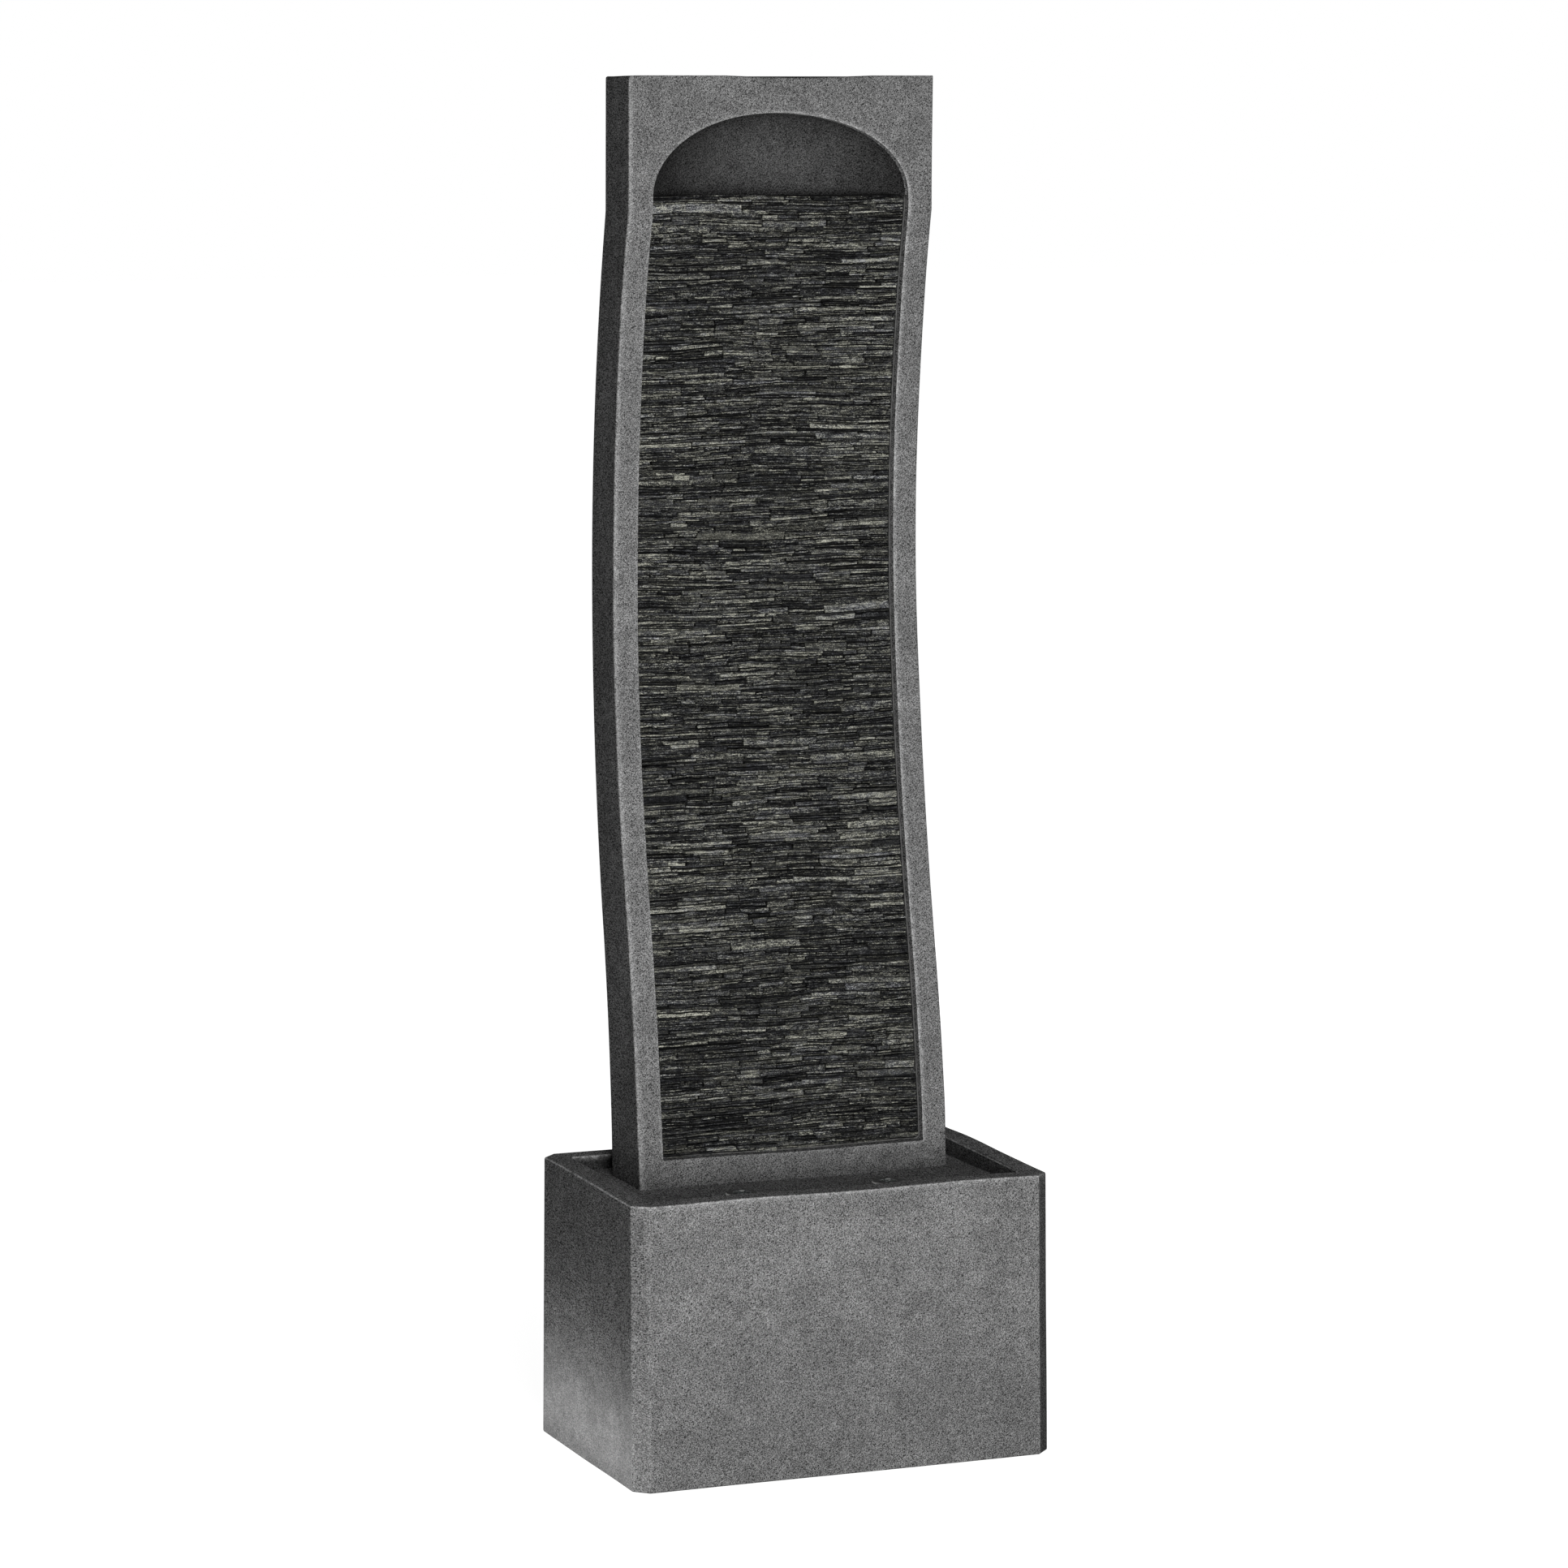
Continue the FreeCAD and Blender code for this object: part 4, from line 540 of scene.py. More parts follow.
def lay_stones(lines):
    """Cuts the beds, taken two by two, into stretches 50 to 170 mm long. One stretch in eight is a
    tall stone through both beds. In the others each bed is cut into stones 20 to 150 mm long, and
    thick ones are parted along a slanting line. Each row is (bed, beds spanned, left, right, low share
    at left, at right, high share at left, at right)."""
    stones = []

    def cut_bed(bed, x, stop):
        thick = float((lines[bed + 1] - lines[bed]).mean())
        while x < stop - 1:
            right = x + float(np.clip(luck.lognormal(3.9, 0.6), 20, 150))
            if stop - right < 18:
                right = stop
            if thick > 4.8 and luck.random() < 0.72:
                low, high = luck.uniform(0.26, 0.74, 2)
                stones.append([bed, 1, x, right, 0.0, 0.0, low, high])
                if right - x > 60 and luck.random() < 0.5:
                    way = luck.uniform(0.3, 0.7)
                    middle, share = x + (right - x) * way, low + (high - low) * way
                    stones.append([bed, 1, x, middle, low, share, 1.0, 1.0])
                    stones.append([bed, 1, middle, right, share, high, 1.0, 1.0])
                else:
                    stones.append([bed, 1, x, right, low, high, 1.0, 1.0])
            else:
                stones.append([bed, 1, x, right, 0.0, 0.0, 1.0, 1.0])
            x = right

    for bed in range(0, PANELS * COURSES, 2):
        edge = float(half_width(lines[bed].mean())) - BORDER - 1.5
        x = -edge + luck.uniform(0, 0.6)
        last = edge - luck.uniform(0, 0.7)
        while x < last - 1:
            stop = x + luck.uniform(50, 170)
            if last - stop < 40:
                stop = last
            if stop - x < 130 and luck.random() < 0.17:
                stones.append([bed, 2, x, stop, 0.0, 0.0, 1.0, 1.0])
            else:
                cut_bed(bed, x, stop)
                cut_bed(bed + 1, x, stop)
            x = stop
    return np.array(stones)


def stone_block(stones, lines):
    """Every stone as a ring of six points carried along eight stations. The ring runs back low, edge
    low, face low, face high, edge high, back high. Face points lie on the tower's front curve plus the
    panel's set-back, the stone's own stand-out and tilt, and a small random relief; the end stations
    step back as a broken edge does."""
    count = len(stones)
    bed = stones[:, 0].astype(int)
    left, right = stones[:, 2] + 0.12, stones[:, 3] - luck.uniform(0.15, 1.2, count)
    length = right - left
    nick = 0.9 / length
    t = np.linspace(0, 1, 6)[None, 1:-1] + luck.uniform(-0.05, 0.05, (count, 4))
    t = np.concatenate([np.zeros((count, 1)), nick[:, None], t, 1 - nick[:, None], np.ones((count, 1))], 1)
    x = left[:, None] + length[:, None] * t
    spot = (x + WALL_HALF) / (2 * WALL_HALF) * (lines.shape[1] - 1)
    spot = np.clip(spot, 0, lines.shape[1] - 1.001)
    cell, rest = spot.astype(int), spot - spot.astype(int)

    def line_at(row):
        return lines[row[:, None], cell] * (1 - rest) + lines[row[:, None], cell + 1] * rest

    low_line, high_line = line_at(bed), line_at(bed + stones[:, 1].astype(int))
    low_share = stones[:, 4:5] * (1 - t) + stones[:, 5:6] * t
    high_share = stones[:, 6:7] * (1 - t) + stones[:, 7:8] * t
    lift = np.clip(luck.gamma(1.0, 0.16, (count, 1)), 0.03, 0.6)
    z_low = low_line + (high_line - low_line) * low_share + lift
    gap = luck.gamma(1.9, 0.42, (count, 1)) * (1 + 0.6 * luck.uniform(-1, 1, (count, STATIONS)))
    z_high = low_line + (high_line - low_line) * high_share - np.clip(gap, 0.12, 2.4)
    z_high = np.maximum(z_high, z_low + 1.0)
    z_low[z_low < SILL + 0.1] = SILL + 0.1
    z_high[z_high > SPRING - 0.2] = SPRING - 0.2
    tall = z_high - z_low
    stand = np.clip(luck.normal(0, 1.3, (count, 1)), -2.4, 2.6) + 0.4
    tilt = luck.normal(0, 0.35, (count, 1))
    bend = smooth_rows(luck.normal(0, 0.75, (count, STATIONS)), 1.0, 0)
    round_off = np.array([0.9, 0.1, 0, 0, 0, 0, 0.1, 0.9])
    chamfer = np.minimum(luck.uniform(0.25, 0.6, (count, 1)), tall * 0.2)
    middle = (z_low + z_high) / 2
    face = front_face(middle) + SET_BACK + stand + bend + round_off
    slope = (front_face(middle + 5) - front_face(middle - 5)) / 10
    rough = luck.normal(0, 0.16, (count, STATIONS, 2))
    back = front_face(middle) + STONE_BACK
    ring_y = np.stack([back, face + chamfer * 1.1 - slope * tall / 2,
                       face - slope * tall / 2 + tilt + rough[:, :, 0],
                       face + slope * tall / 2 - tilt + rough[:, :, 1],
                       face + chamfer * 1.1 + slope * tall / 2, back], 2)
    inner_low, inner_high = z_low + chamfer, z_high - chamfer
    ring_z = np.stack([z_low, z_low, inner_low, inner_high, z_high, z_high], 2)
    skew = np.tan(np.radians(luck.normal(0, 9, (count, 1, 1))))
    ring_x = x[:, :, None] + np.clip(skew * (ring_z - middle[:, :, None]), -0.9, 0.9)
    return np.stack([ring_x, ring_y, ring_z], 3).reshape(count, STONE_POINTS, 3)


def stone_looks(stones, lines):
    """Each stone's step in tone, lean to warm, strength of pattern and place in it. Pale stones come
    in drifts: blurred noise over the wall moves the step."""
    count, rows, columns = len(stones), 64, 24
    drift = smooth_rows(luck.normal(size=(rows, columns)), 2.2, 2.6)
    drift = drift / drift.std()
    up = (lines[stones[:, 0].astype(int), 40] - SILL) / (SPRING - SILL) * (rows - 1)
    along = ((stones[:, 2] + stones[:, 3]) / 2 + WALL_HALF) / (2 * WALL_HALF) * (columns - 1)
    pull = drift[np.clip(up.astype(int), 0, rows - 1), np.clip(along.astype(int), 0, columns - 1)]
    step = np.clip(luck.normal(0.5, 0.24, count) + 0.05 * pull, 0, 1)
    lean = np.clip(luck.normal(0.48, 0.16, count), 0, 1)
    return np.stack([step, lean, luck.random(count), luck.random(count)], 1)


def new_mesh(name, points, faces, body, slot, node, *finishes):
    """Puts points in mm and faces into a mesh object that rides on a body and stands for a node."""
    mesh = bpy.data.meshes.new(name)
    mesh.from_pydata((np.asarray(points).reshape(-1, 3) * MM).tolist(), [], faces)
    mesh.update()
    for finish in finishes:
        mesh.materials.append(finish)
    made = put(name, mesh)
    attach(made, body)
    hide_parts(node)
    return mesh


def mortar_bed(low, high):
    """The bed behind one panel: a closed slab between two depths behind the front curve, as a ring of
    four points carried up the stations."""
    stations = 14
    z = np.linspace(low, high, stations)
    half = half_width(z) - BORDER - 3.2
    near, far = front_face(z) + MORTAR_FRONT, front_face(z) + MORTAR_BACK
    corners = ((-half, near), (half, near), (half, far), (-half, far))
    ring = np.stack([np.stack([x, y, z], 1) for x, y in corners], 1)
    last = 4 * (stations - 1)
    faces = ring_faces(stations, 4, inside_out=True).tolist()
    return ring.reshape(-1, 3), faces + [[3, 2, 1, 0], list(range(last, last + 4))]


def slate_wall(slate, mortar):
    """The eight panels: each takes the stones of its own beds and a mortar slab behind them."""
    lines = bed_lines()
    stones = lay_stones(lines)
    looks = stone_looks(stones, lines)
    points = stone_block(stones, lines)
    # Side faces between stations, and a cap at each end, the same for every stone
    sides = ring_faces(STATIONS, RING)
    caps = np.array([range(RING), range(STONE_POINTS - 1, STONE_POINTS - 1 - RING, -1)])
    # Back and side rings of each stone are darkened as dirt and painted shade in the joints.
    dirt_and_shade_rings = np.ones((STATIONS, RING), dtype=np.float32)
    dirt_and_shade_rings[1:-1, 2:4] = 0.0
    panel_of = stones[:, 0].astype(int) // COURSES
    for k in range(PANELS):
        chosen = np.flatnonzero(panel_of == k)
        starts = (np.arange(len(chosen)) * STONE_POINTS)[:, None, None]
        faces = (sides[None] + starts).reshape(-1, 4).tolist()
        faces += (caps[None] + starts).reshape(-1, RING).tolist()
        of_stones = len(faces)
        block = mould_drift(points[chosen].reshape(-1, 3))
        slab, slab_faces = mortar_bed(SILL + k * PANEL_HIGH, SILL + (k + 1) * PANEL_HIGH)
        both = np.concatenate([block, mould_drift(slab)])
        faces += [[i + len(block) for i in face] for face in slab_faces]
        mesh = new_mesh("slate_stones_%d" % (k + 1), both, faces, "fountain", "slate",
                        "slate_panel_%d" % (k + 1), slate, mortar)
        which = np.zeros(len(faces), dtype=np.int32)
        which[of_stones:] = 1
        mesh.polygons.foreach_set("material_index", which)
        joint_dirt_and_shade = np.ones(len(both), dtype=np.float32)
        own_dirt_and_shade = 0.35 + 0.65 * looks[chosen, 3]
        joint_dirt_and_shade[:len(block)] = np.tile(dirt_and_shade_rings.ravel(), len(chosen)) * np.repeat(own_dirt_and_shade, STONE_POINTS)
        mesh.attributes.new("edge", "FLOAT", "POINT").data.foreach_set("value", joint_dirt_and_shade)
        values = np.zeros((len(both), 4), dtype=np.float32)
        values[:len(block)] = np.repeat(looks[chosen], STONE_POINTS, 0)
        mesh.attributes.new("stone", "FLOAT_COLOR", "POINT").data.foreach_set("color", values.ravel())


# Sealant bead and filter sponge

def sealant_bead(finish):
    """The bead between slate and frame: a round thread carried down one side of the slate, over the
    sill and up the other, 10.6 mm behind the front curve and 2.2 mm more on the sill. Its radius is
    1.2 mm, with 0.3 mm more or less from three sine waves 17, 41 and 95 mm long."""
    top, low, turn = SPRING - 2.0, SILL + BEAD_IN, 5.0
    z = np.linspace(top, low + turn, 420)
    x = half_width(z) - BORDER - BEAD_IN
    bend = np.linspace(0, math.pi / 2, 9)[1:]
    side = half_width(low + turn) - BORDER - BEAD_IN
    corner_x, corner_z = side - turn + turn * np.cos(bend), low + turn - turn * np.sin(bend)
    half_x = np.concatenate([x, corner_x])
    half_z = np.concatenate([z, corner_z])
    sill_x = np.linspace(side - turn, turn - side, 122)[1:-1]
    path_x = np.concatenate([half_x, sill_x, -half_x[::-1]])
    path_z = np.concatenate([half_z, np.full(len(sill_x), low), half_z[::-1]])
    deep = 10.6 + 2.2 * np.clip((low + turn - path_z) / turn, 0, 1)
    path = np.stack([path_x, front_face(path_z) + deep, path_z], 1)
    along = np.concatenate([[0], np.cumsum(np.linalg.norm(np.diff(path, axis=0), axis=1))])
    radius = 1.2 + 0.14 * np.sin(along / 17 * 6.28) + 0.10 * np.sin(along / 41 * 6.28 + 1) \
        + 0.08 * np.sin(along / 95 * 6.28 + 2)
    ahead = np.gradient(path, axis=0)
    ahead /= np.linalg.norm(ahead, axis=1, keepdims=True)
    out = np.cross(ahead, (0.0, 1.0, 0.0))
    out /= np.linalg.norm(out, axis=1, keepdims=True)
    back = np.cross(ahead, out)
    turns = np.arange(RING) / RING * 2 * math.pi
    ring = path[:, None] + radius[:, None, None] * (out[:, None] * np.cos(turns)[None, :, None]
                                                    + back[:, None] * np.sin(turns)[None, :, None])
    last = (len(path) - 1) * RING
    faces = ring_faces(len(path), RING, inside_out=True).tolist()
    faces += [list(range(RING))[::-1], list(range(last, last + RING))]
    new_mesh("sealant_bead", mould_drift(ring.reshape(-1, 3)), faces, "fountain", "sealant",
             "slate_sealant", finish).shade_smooth()


def foam_block(finish):
    """The filter sponge: a block that swells softly. Its outline is a superellipse of power 8 in X and
    Z, and front to back the outline draws in by the same power, so that every edge is round; three slow
    sine waves dent it by a third of a millimetre."""
    low, high = (np.array(corner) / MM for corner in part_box("intake_sponge"))
    middle, half = (low + high) / 2, (high - low) / 2 - 0.35
    rows, around = 39, 96
    way = np.linspace(0, 2 * math.pi, around + 1)[:-1]
    deep = np.linspace(-math.pi / 2, math.pi / 2, rows + 2)[1:-1]

    def power(value):
        return np.sign(value) * np.abs(value) ** 0.25

    x = power(np.cos(deep))[:, None] * power(np.cos(way))[None]
    z = power(np.cos(deep))[:, None] * power(np.sin(way))[None]
    y = np.repeat(power(np.sin(deep))[:, None], around, 1)
    grid = np.stack([x, y, z], 2)
    points = middle + grid * half
    dents = np.sin(points @ np.array([[0.31, 0.10, 0.23], [0.12, 0.5, -0.27], [-0.4, 0.2, 0.16]]).T).sum(2)
    points -= grid * (0.11 * (dents + 3.0) * 0.5)[:, :, None]
    poles = middle + np.array([[0, -1, 0], [0, 1, 0]]) * half
    end, last = rows * around, (rows - 1) * around
    faces = ring_faces(rows, around).tolist()
    faces += [[end, i, (i + 1) % around] for i in range(around)]
    faces += [[end + 1, last + (i + 1) % around, last + i] for i in range(around)]
    new_mesh("filter_sponge_block", np.concatenate([points.reshape(-1, 3), poles]), faces, "intake",
             "blue_sponge", "intake_sponge", finish).shade_smooth()


# Finishes of the fittings

def moulded(add, face, roughness, shine=0.3, grain=900.0, deep=0.12, dust=0.10):
    """Moulded plastic or rubber: a fine spark-eroded grain, slow unevenness in the gloss, and a thin
    grey bloom of lime and dust in patches."""
    place = on_piece(add)
    fine = add("TexNoise", {"Vector": place, "Scale": grain, "Roughness": 0.6})
    slow = add("TexNoise", {"Vector": place, "Scale": 35, "Detail": 3.0, "Roughness": 0.6})
    bloom = add("MapRange", (slow, 0.48, 0.75, 0.0, dust), interpolation_type="SMOOTHSTEP")
    base = mottled(add, colour(face), fine, 0.86, 1.14)
    base = add("Mix", {0: bloom, 6: base, 7: colour("#a8a8a4")}, 2, data_type="RGBA")
    return {"Base Color": base, "Specular IOR Level": shine,
            "Roughness": add("MapRange", (slow, 0.3, 0.7, roughness - 0.07, roughness + 0.10)),
            "Relief": [(fine, deep, 0.5)]}


def ribbed_tube(add, face, roughness, pitch):
    """Extruded hose or cable sheath: faint drawn bands round it every few millimetres, from a wave on
    the height and depth of the piece, and a soft waxy shine."""
    place = on_piece(add)
    bands = add("TexWave", {"Vector": place, "Scale": 1 / (2 * pitch * MM), "Distortion": 1.5,
                            "Detail": 1.0}, "Fac", wave_type="BANDS", bands_direction="DIAGONAL")
    scuffs = add("TexNoise", {"Vector": place, "Scale": 120, "Detail": 3.0, "Roughness": 0.6})
    return {"Base Color": mottled(add, colour(face), scuffs, 0.8, 1.25), "Specular IOR Level": 0.35,
            "Roughness": add("MapRange", (scuffs, 0.3, 0.7, roughness - 0.08, roughness + 0.12)),
            "Relief": [(bands, 0.15, 0.35)]}


def brushed_steel(add):
    """Stainless steel: brushed lines along X a tenth of a millimetre apart, drawn at four tenths so
    that they show, broken by a few fine scratches and water marks."""
    brushed = on_piece(add, (12, 2500, 2500))
    lines = add("TexNoise", {"Vector": brushed, "Scale": 1.0, "Roughness": 0.7})
    marks = add("TexNoise", {"Vector": on_piece(add), "Scale": 140, "Detail": 3.0, "Roughness": 0.6})
    return {"Base Color": mottled(add, colour("#c3c4c4"), marks, 0.80, 1.08), "Metallic": 1.0,
            "Roughness": ("ADD", add("MapRange", (lines, 0.3, 0.7, 0.22, 0.34)),
                          add("MapRange", (marks, 0.45, 0.75, 0.0, 0.14))),
            "Relief": [(lines, 0.02, 0.5)]}


def from_lamp(add):
    """X and Y from the nearer lamp's centre and the distance from it, in metres."""
    mirrored = add("VectorMath", (on_piece(add),), operation="ABSOLUTE")
    x, y, _ = add("SeparateXYZ", (mirrored,)).node.outputs
    x = add("Math", (x, LAMP_X * MM), operation="SUBTRACT")
    y = add("Math", (y, LAMP_Y * MM), operation="SUBTRACT")
    squares = ("ADD", ("MULTIPLY", x, x), ("MULTIPLY", y, y))
    return x, y, add("Math", (squares,), operation="SQRT")


def lamp_steel(add):
    """The lamp rings' steel after a season in water: dulled by a dark film, with a pale, less metallic band
    on the raised outer edge as a painted highlight, and matt with scale."""
    _, _, away = from_lamp(add)
    marks = add("TexNoise", {"Vector": on_piece(add), "Scale": 300, "Detail": 3.0, "Roughness": 0.6})
    # Painted highlight: a pale band on the ring's raised outer edge.
    edge = add("MapRange", (away, 0.0201, 0.0210))
    film = add("Mix", {0: marks, 6: colour("#2c2c2c"), 7: colour("#474746")}, 2, data_type="RGBA")
    return {"Base Color": add("Mix", {0: edge, 6: film, 7: colour("#c6c6c4")}, 2, data_type="RGBA"),
            "Metallic": add("MapRange", (edge, 0.0, 1.0, 0.85, 0.25)),
            "Roughness": add("MapRange", (marks, 0.3, 0.7, 0.38, 0.58)), "Relief": [(marks, 0.08, 0.4)]}


def lamp_glass(add):
    """Clear lamp lens: moulded glass with faint rings 1.6 mm apart round each lamp's centre that spread the
    light, slightly smoky from the water, and a small white painted glint in the middle, where less light goes
    through."""
    _, _, away = from_lamp(add)
    rings = ("SINE", ("MULTIPLY", away, 2 * math.pi / (1.6 * MM)))
    marks = add("TexNoise", {"Vector": on_piece(add), "Scale": 260, "Roughness": 0.6})
    glass = mottled(add, colour("#8f9494"), marks, 0.75, 1.1)
    # Painted glint: a small white spot at each lens's centre.
    painted_glint = add("MapRange", (away, 0.0030, 0.0042, 1.0, 0.0))
    return {"Base Color": add("Mix", {0: painted_glint, 6: glass, 7: colour("#f4f4f2")}, 2, data_type="RGBA"),
            "Transmission Weight": add("MapRange", (painted_glint, 0.0, 1.0, 0.9, 0.1)),
            "Roughness": add("MapRange", (marks, 0.4, 0.8, 0.05, 0.22)), "IOR": 1.47,
            "Relief": [(rings, 0.05, 0.5)]}


def lamp_light_board(add):
    """Lamp board: green solder resist with six pale yellow light chips 7 mm from each centre, laid out
    by angle and distance, and copper tracks between them."""
    x, y, away = from_lamp(add)
    turn = ("COSINE", ("MULTIPLY", ("ARCTAN2", y, x), 6.0))
    ring = ("LESS_THAN", ("ABSOLUTE", ("SUBTRACT", away, 7 * MM)), 1.4 * MM)
    chips = add("Math", (ring, ("GREATER_THAN", turn, 0.55)), operation="MULTIPLY")
    tracks = ("MULTIPLY", ("GREATER_THAN", ("SINE", ("MULTIPLY", away, 4200.0)), 0.55), 0.45)
    weave = add("TexNoise", {"Vector": on_piece(add), "Scale": 900, "Roughness": 0.6})
    base = add("Mix", {0: tracks, 6: colour("#1d5a37"), 7: colour("#3f7f4b")}, 2, data_type="RGBA")
    base = add("Mix", {0: chips, 6: base, 7: colour("#e9dfa0")}, 2, data_type="RGBA")
    return {"Base Color": mottled(add, base, weave, 0.88, 1.12), "Roughness": 0.35,
            "Relief": [(chips, 0.4, 0.6)]}


def laminated_core(add):
    """Pump core: stamped steel sheets half a millimetre thick, drawn at one, stacked along Y, with a
    blue-grey oxide and resin run in between."""
    place = on_piece(add)
    sheets = add("TexWave", {"Vector": place, "Scale": 500.0 / math.pi, "Distortion": 0.3}, "Fac",
                 wave_type="BANDS", bands_direction="Y")
    stains = add("TexNoise", {"Vector": place, "Scale": 160, "Detail": 3.0, "Roughness": 0.6})
    base = add("Mix", {0: sheets, 6: colour("#3b3f45"), 7: colour("#7d838a")}, 2, data_type="RGBA")
    return {"Base Color": mottled(add, base, stains, 0.75, 1.2), "Metallic": 0.8,
            "Roughness": add("MapRange", (stains, 0.3, 0.7, 0.35, 0.6)), "Relief": [(sheets, 0.2, 0.6)]}


def wound_copper(add):
    """Pump winding: enamelled copper wire 0.6 mm thick, drawn at 1.2, laid turn beside turn along Y."""
    place = on_piece(add)
    turns = add("TexWave", {"Vector": place, "Scale": 420.0 / math.pi, "Distortion": 0.5,
                            "Detail": 1.0}, "Fac", wave_type="BANDS", bands_direction="Y")
    stains = add("TexNoise", {"Vector": place, "Scale": 220, "Roughness": 0.6})
    base = add("Mix", {0: turns, 6: colour("#4a1f10"), 7: colour("#c9743f")}, 2, data_type="RGBA")
    return {"Base Color": mottled(add, base, stains, 0.8, 1.15), "Metallic": 0.9, "Roughness": 0.3,
            "Coat Weight": 0.5, "Relief": [(turns, 0.4, 0.8)]}


def ground_ceramic(add, face, roughness, shine, speck):
    """Ground ceramic or ferrite: an even fine body with darker specks, smoother where it runs."""
    specks = add("TexNoise", {"Vector": on_piece(add), "Scale": 1400, "Roughness": 0.7})
    return {"Base Color": mottled(add, colour(face), specks, 1 - speck, 1 + speck),
            "Roughness": roughness, "Specular IOR Level": shine, "Relief": [(specks, 0.03, 0.5)]}


def open_foam(add):
    """Filter sponge: open-cell foam, thirty cells to the inch, so cells 0.9 mm across drawn at 1.8,
    dark holes between lighter blue strands."""
    place = on_piece(add)
    cells = add("TexVoronoi", {"Vector": place, "Scale": 560.0}, "Distance", feature="DISTANCE_TO_EDGE")
    holes = add("MapRange", (cells, 0.05, 0.32))
    stains = add("TexNoise", {"Vector": place, "Scale": 60, "Detail": 3.0, "Roughness": 0.6})
    base = add("Mix", {0: holes, 6: colour("#4f86b4"), 7: colour("#12283c")}, 2, data_type="RGBA")
    return {"Base Color": mottled(add, base, stains, 0.75, 1.15), "Roughness": 0.95,
            "Specular IOR Level": 0.1, "Relief": [(("SUBTRACT", 1.0, holes), 1.0, 0.9)]}


def soft_bead(add):
    """Sealant bead round the slate: dark grey, skinned over, a little paler than the slate."""
    drawn_up = on_piece(add, (1, 1, 0.6))
    ripples = add("TexNoise", {"Vector": drawn_up, "Scale": 130, "Detail": 3.0, "Roughness": 0.6})
    dust = add("TexNoise", {"Vector": on_piece(add), "Scale": 700, "Roughness": 0.6})
    base = mottled(add, colour("#4e4e4d"), ripples, 0.6, 1.4)
    return {"Base Color": mottled(add, base, dust, 0.75, 1.25), "Roughness": 0.6,
            "Specular IOR Level": 0.25, "Relief": [(ripples, 0.7, 0.8)]}


# Put the pieces together

stone = material("cast_stone_sandblasted", cast_stone, "#757575", rubbed_lightly)
for node, body, finish in (
        ("basin_shell", "fountain",
         material("cast_stone_basin", cast_stone, "#757575", rubbed_and_highlit_basin, basin_stains_and_shade)),
        ("tower_front", "fountain",
         material("cast_stone_tower", cast_stone, "#717171", rubbed_and_highlit_tower, tower_foot_shade)),
        ("deck_tray", "fountain", material("cast_stone_deck", cast_stone, "#696969", stains=deck_painted_shadow)),
        # The recess's dark face colour is painted shade, with its gradient.
        ("niche_bowl", "fountain", material("cast_stone_niche", cast_stone, "#454545", stains=bowl_painted_shade)),
        ("tower_back_cover", "fountain", stone),
        ("access_door", "door", stone)):
    stone_shell(node, body, finish)
slate_wall(material("split_slate", split_slate), material("bonding_mortar", bonding_mortar))

FITTINGS = {
    material("black_seal_rubber", moulded, "#151515", 0.72, 0.2, 500.0, 0.2, 0.16): [
        "deck_gasket", "inlet_gasket", "lamp_gaskets", "door_gasket", "drain_bung", "pump_bushes",
        "pump_feet"],
    material("grey_pipe_plastic", moulded, "#7f8385", 0.38, 0.4, 260.0, 0.08, 0.08): [
        "deck_posts", "spreader_pipe", "spreader_caps"],
    material("black_moulded_plastic", moulded, "#191919", 0.42): [
        "inlet_box", "inlet_nut", "lamp_housings", "pump_body", "pump_chamber", "pump_outlet", "intake_cover",
        "flow_dial", "water_trough", "trough_fitting", "hose_clips", "slate_backer", "tower_nuts"],
    material("black_cable_sheath", ribbed_tube, "#161616", 0.40, 2.4): [
        "lamp_lead_left", "lamp_lead_right", "pump_lead"],
    material("black_hose_rubber", ribbed_tube, "#131313", 0.52, 3.2): ["riser_hose"],
    material("lamp_ring_steel", lamp_steel): ["lamp_ring_left", "lamp_ring_right"],
    material("brushed_stainless", brushed_steel): [
        "door_latch", "hinge_pins", "wall_tie", "wall_tie_screws", "cover_screws", "tower_bolts",
        "tower_washers"],
    material("lamp_lens_glass", lamp_glass): ["lamp_lens_left", "lamp_lens_right"],
    material("lamp_light_board", lamp_light_board): ["lamp_boards"],
    material("laminated_core_steel", laminated_core): ["pump_core"],
    material("enamelled_copper_winding", wound_copper): ["pump_coil"],
    material("rotor_ferrite", ground_ceramic, "#2a2a2c", 0.5, 0.4, 0.25): ["pump_rotor"],
    material("shaft_ceramic", ground_ceramic, "#e6e4de", 0.15, 0.5, 0.04): ["pump_shaft"],
}
for finish, names in FITTINGS.items():
    for name in names:
        nodes[name].data.materials.clear()
        nodes[name].data.materials.append(finish)

sealant_bead(material("slate_sealant_bead", soft_bead))
foam_block(material("filter_foam", open_foam))


# Floor, light and camera

def seen_directly(add):
    """1 for what the camera sees, also in mirrors and through clear lenses, and 0 for bounced light."""
    way = add("LightPath").node.outputs
    return ("MAXIMUM", way["Is Camera Ray"], way["Is Glossy Ray"], way["Is Transmission Ray"])


def pale_ground(add):
    """Pale studio floor. The camera, mirrors and clear lenses see it close to white with the object's
    shadow left on it; light bounces from it as from white board."""
    board = add("BsdfDiffuse", (colour("#b4b4b4"),))
    thin = add("BsdfDiffuse", (colour("#a0a0a0"),))
    far = add("VectorMath", (on_piece(add),), "Value", operation="LENGTH")
    glow = add("Emission", (colour("#ffffff"), add("MapRange", (far, 0.4, 1.6, 0.94, 1.0))))
    seen = add("AddShader", (thin, glow))
    return add("MixShader", (seen_directly(add), board, seen))


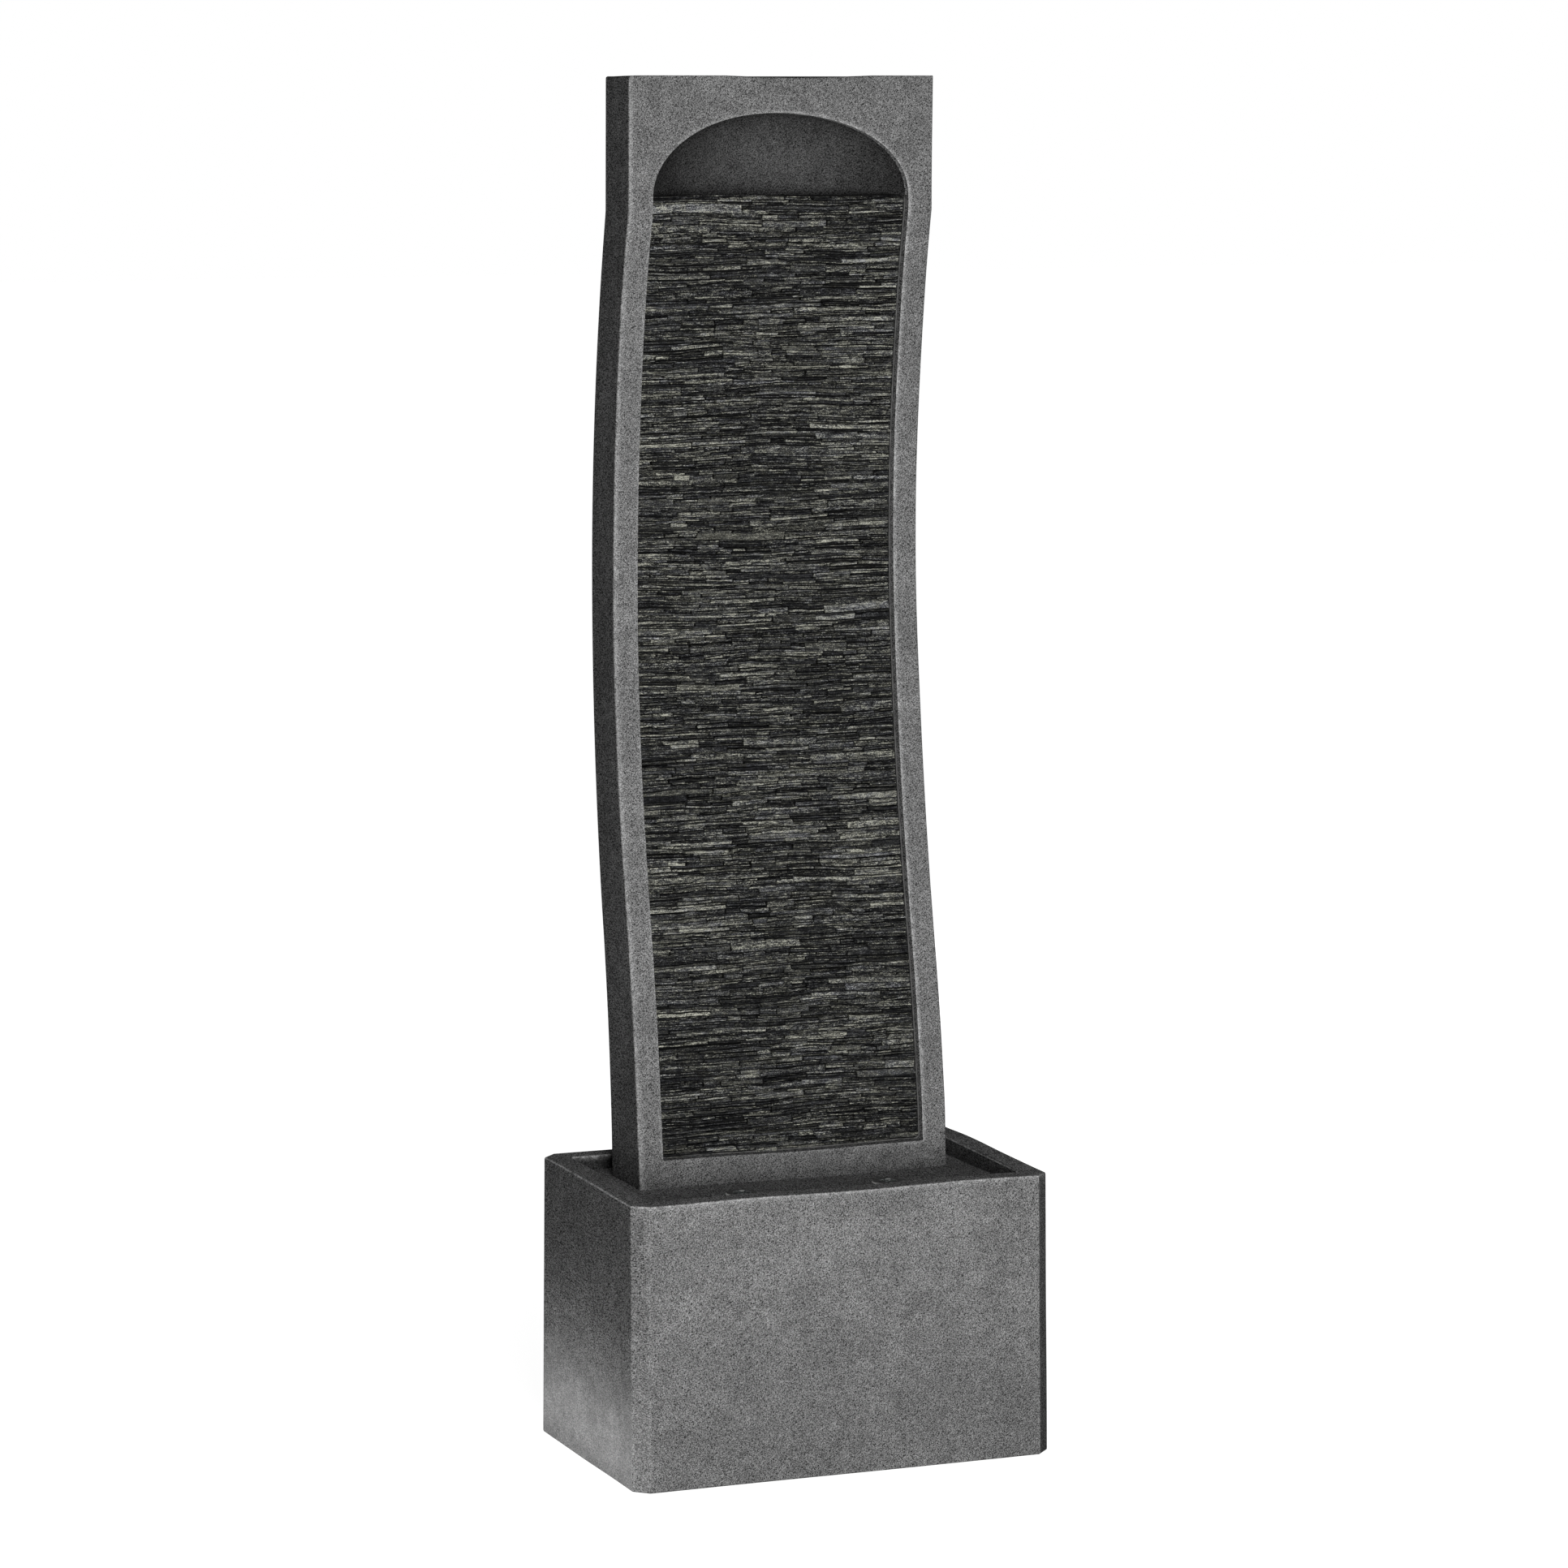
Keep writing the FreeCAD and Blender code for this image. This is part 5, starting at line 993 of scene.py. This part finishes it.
def soft_box(name, place, target, size, power):
    """A rectangle of light at place that faces target and isn't seen itself."""
    light = bpy.data.lights.new(name, "AREA")
    light.shape = "RECTANGLE"
    light.size, light.size_y = size
    light.energy = power
    box = put(name, light)
    box.location = place
    box.rotation_mode = "QUATERNION"
    box.rotation_quaternion = (Vector(target) - Vector(place)).to_track_quat("-Z", "Y")
    box.visible_camera = False


def studio():
    """Floor, white surroundings, lamps and camera. The floor's grid is finer in the middle."""
    reach, lines = 40.0, 41
    mesh = bpy.data.meshes.new("studio_floor")
    steps = np.linspace(-1, 1, lines)
    steps = np.sign(steps) * np.abs(steps) ** 2 * reach
    gx, gy = np.meshgrid(steps, steps)
    points = np.stack([gx.ravel(), gy.ravel(), np.full(gx.size, -0.2 * MM)], 1)
    row = np.arange(lines - 1)
    a = (row[:, None] * lines + row[None]).ravel()
    mesh.from_pydata(points.tolist(), [], np.stack([a, a + 1, a + lines + 1, a + lines], 1).tolist())
    floor = put("studio_floor", mesh)
    floor.data.materials.append(material("pale_ground", pale_ground))

    world = bpy.data.worlds.new("studio_white")
    bpy.context.scene.world = world
    world.use_nodes = True
    world.node_tree.nodes.clear()
    add = partial(add_node, world.node_tree)
    fill, white = (add("Background", (colour("#ffffff"), strength)) for strength in (0.03, 1.0))
    add("OutputWorld", {"Surface": add("MixShader", (seen_directly(add), fill, white))})

    soft_box("key_front", (-0.80, -3.60, 1.25), (0, 0, 0.95), (1.3, 1.8), 141)
    soft_box("back_right", (3.2, 3.2, 0.55), (0, 0.1, 0.80), (1.6, 0.8), 90)
    soft_box("left_low_strip", (-0.410, 0.0, 0.050), (-0.29, 0.0, 0.050), (0.50, 0.06), 0.47)

    lens = bpy.data.cameras.new("camera")
    lens.lens, lens.sensor_width = 125.80, 36.0
    camera = put("camera", lens)
    right = Vector((0.92788, -0.37289, 0.00085))
    up = Vector((0.04744, 0.12030, 0.99160))
    forward = Vector((0.36986, 0.92005, -0.12931))
    turn = Matrix((right, up, -forward)).transposed().to_4x4()
    camera.matrix_world = Matrix.Translation((-2.7085, -6.7018, 1.8378)) @ turn
    bpy.context.scene.camera = camera


studio()
bpy.context.scene.view_settings.view_transform = "Standard"

bpy.context.view_layer.update()
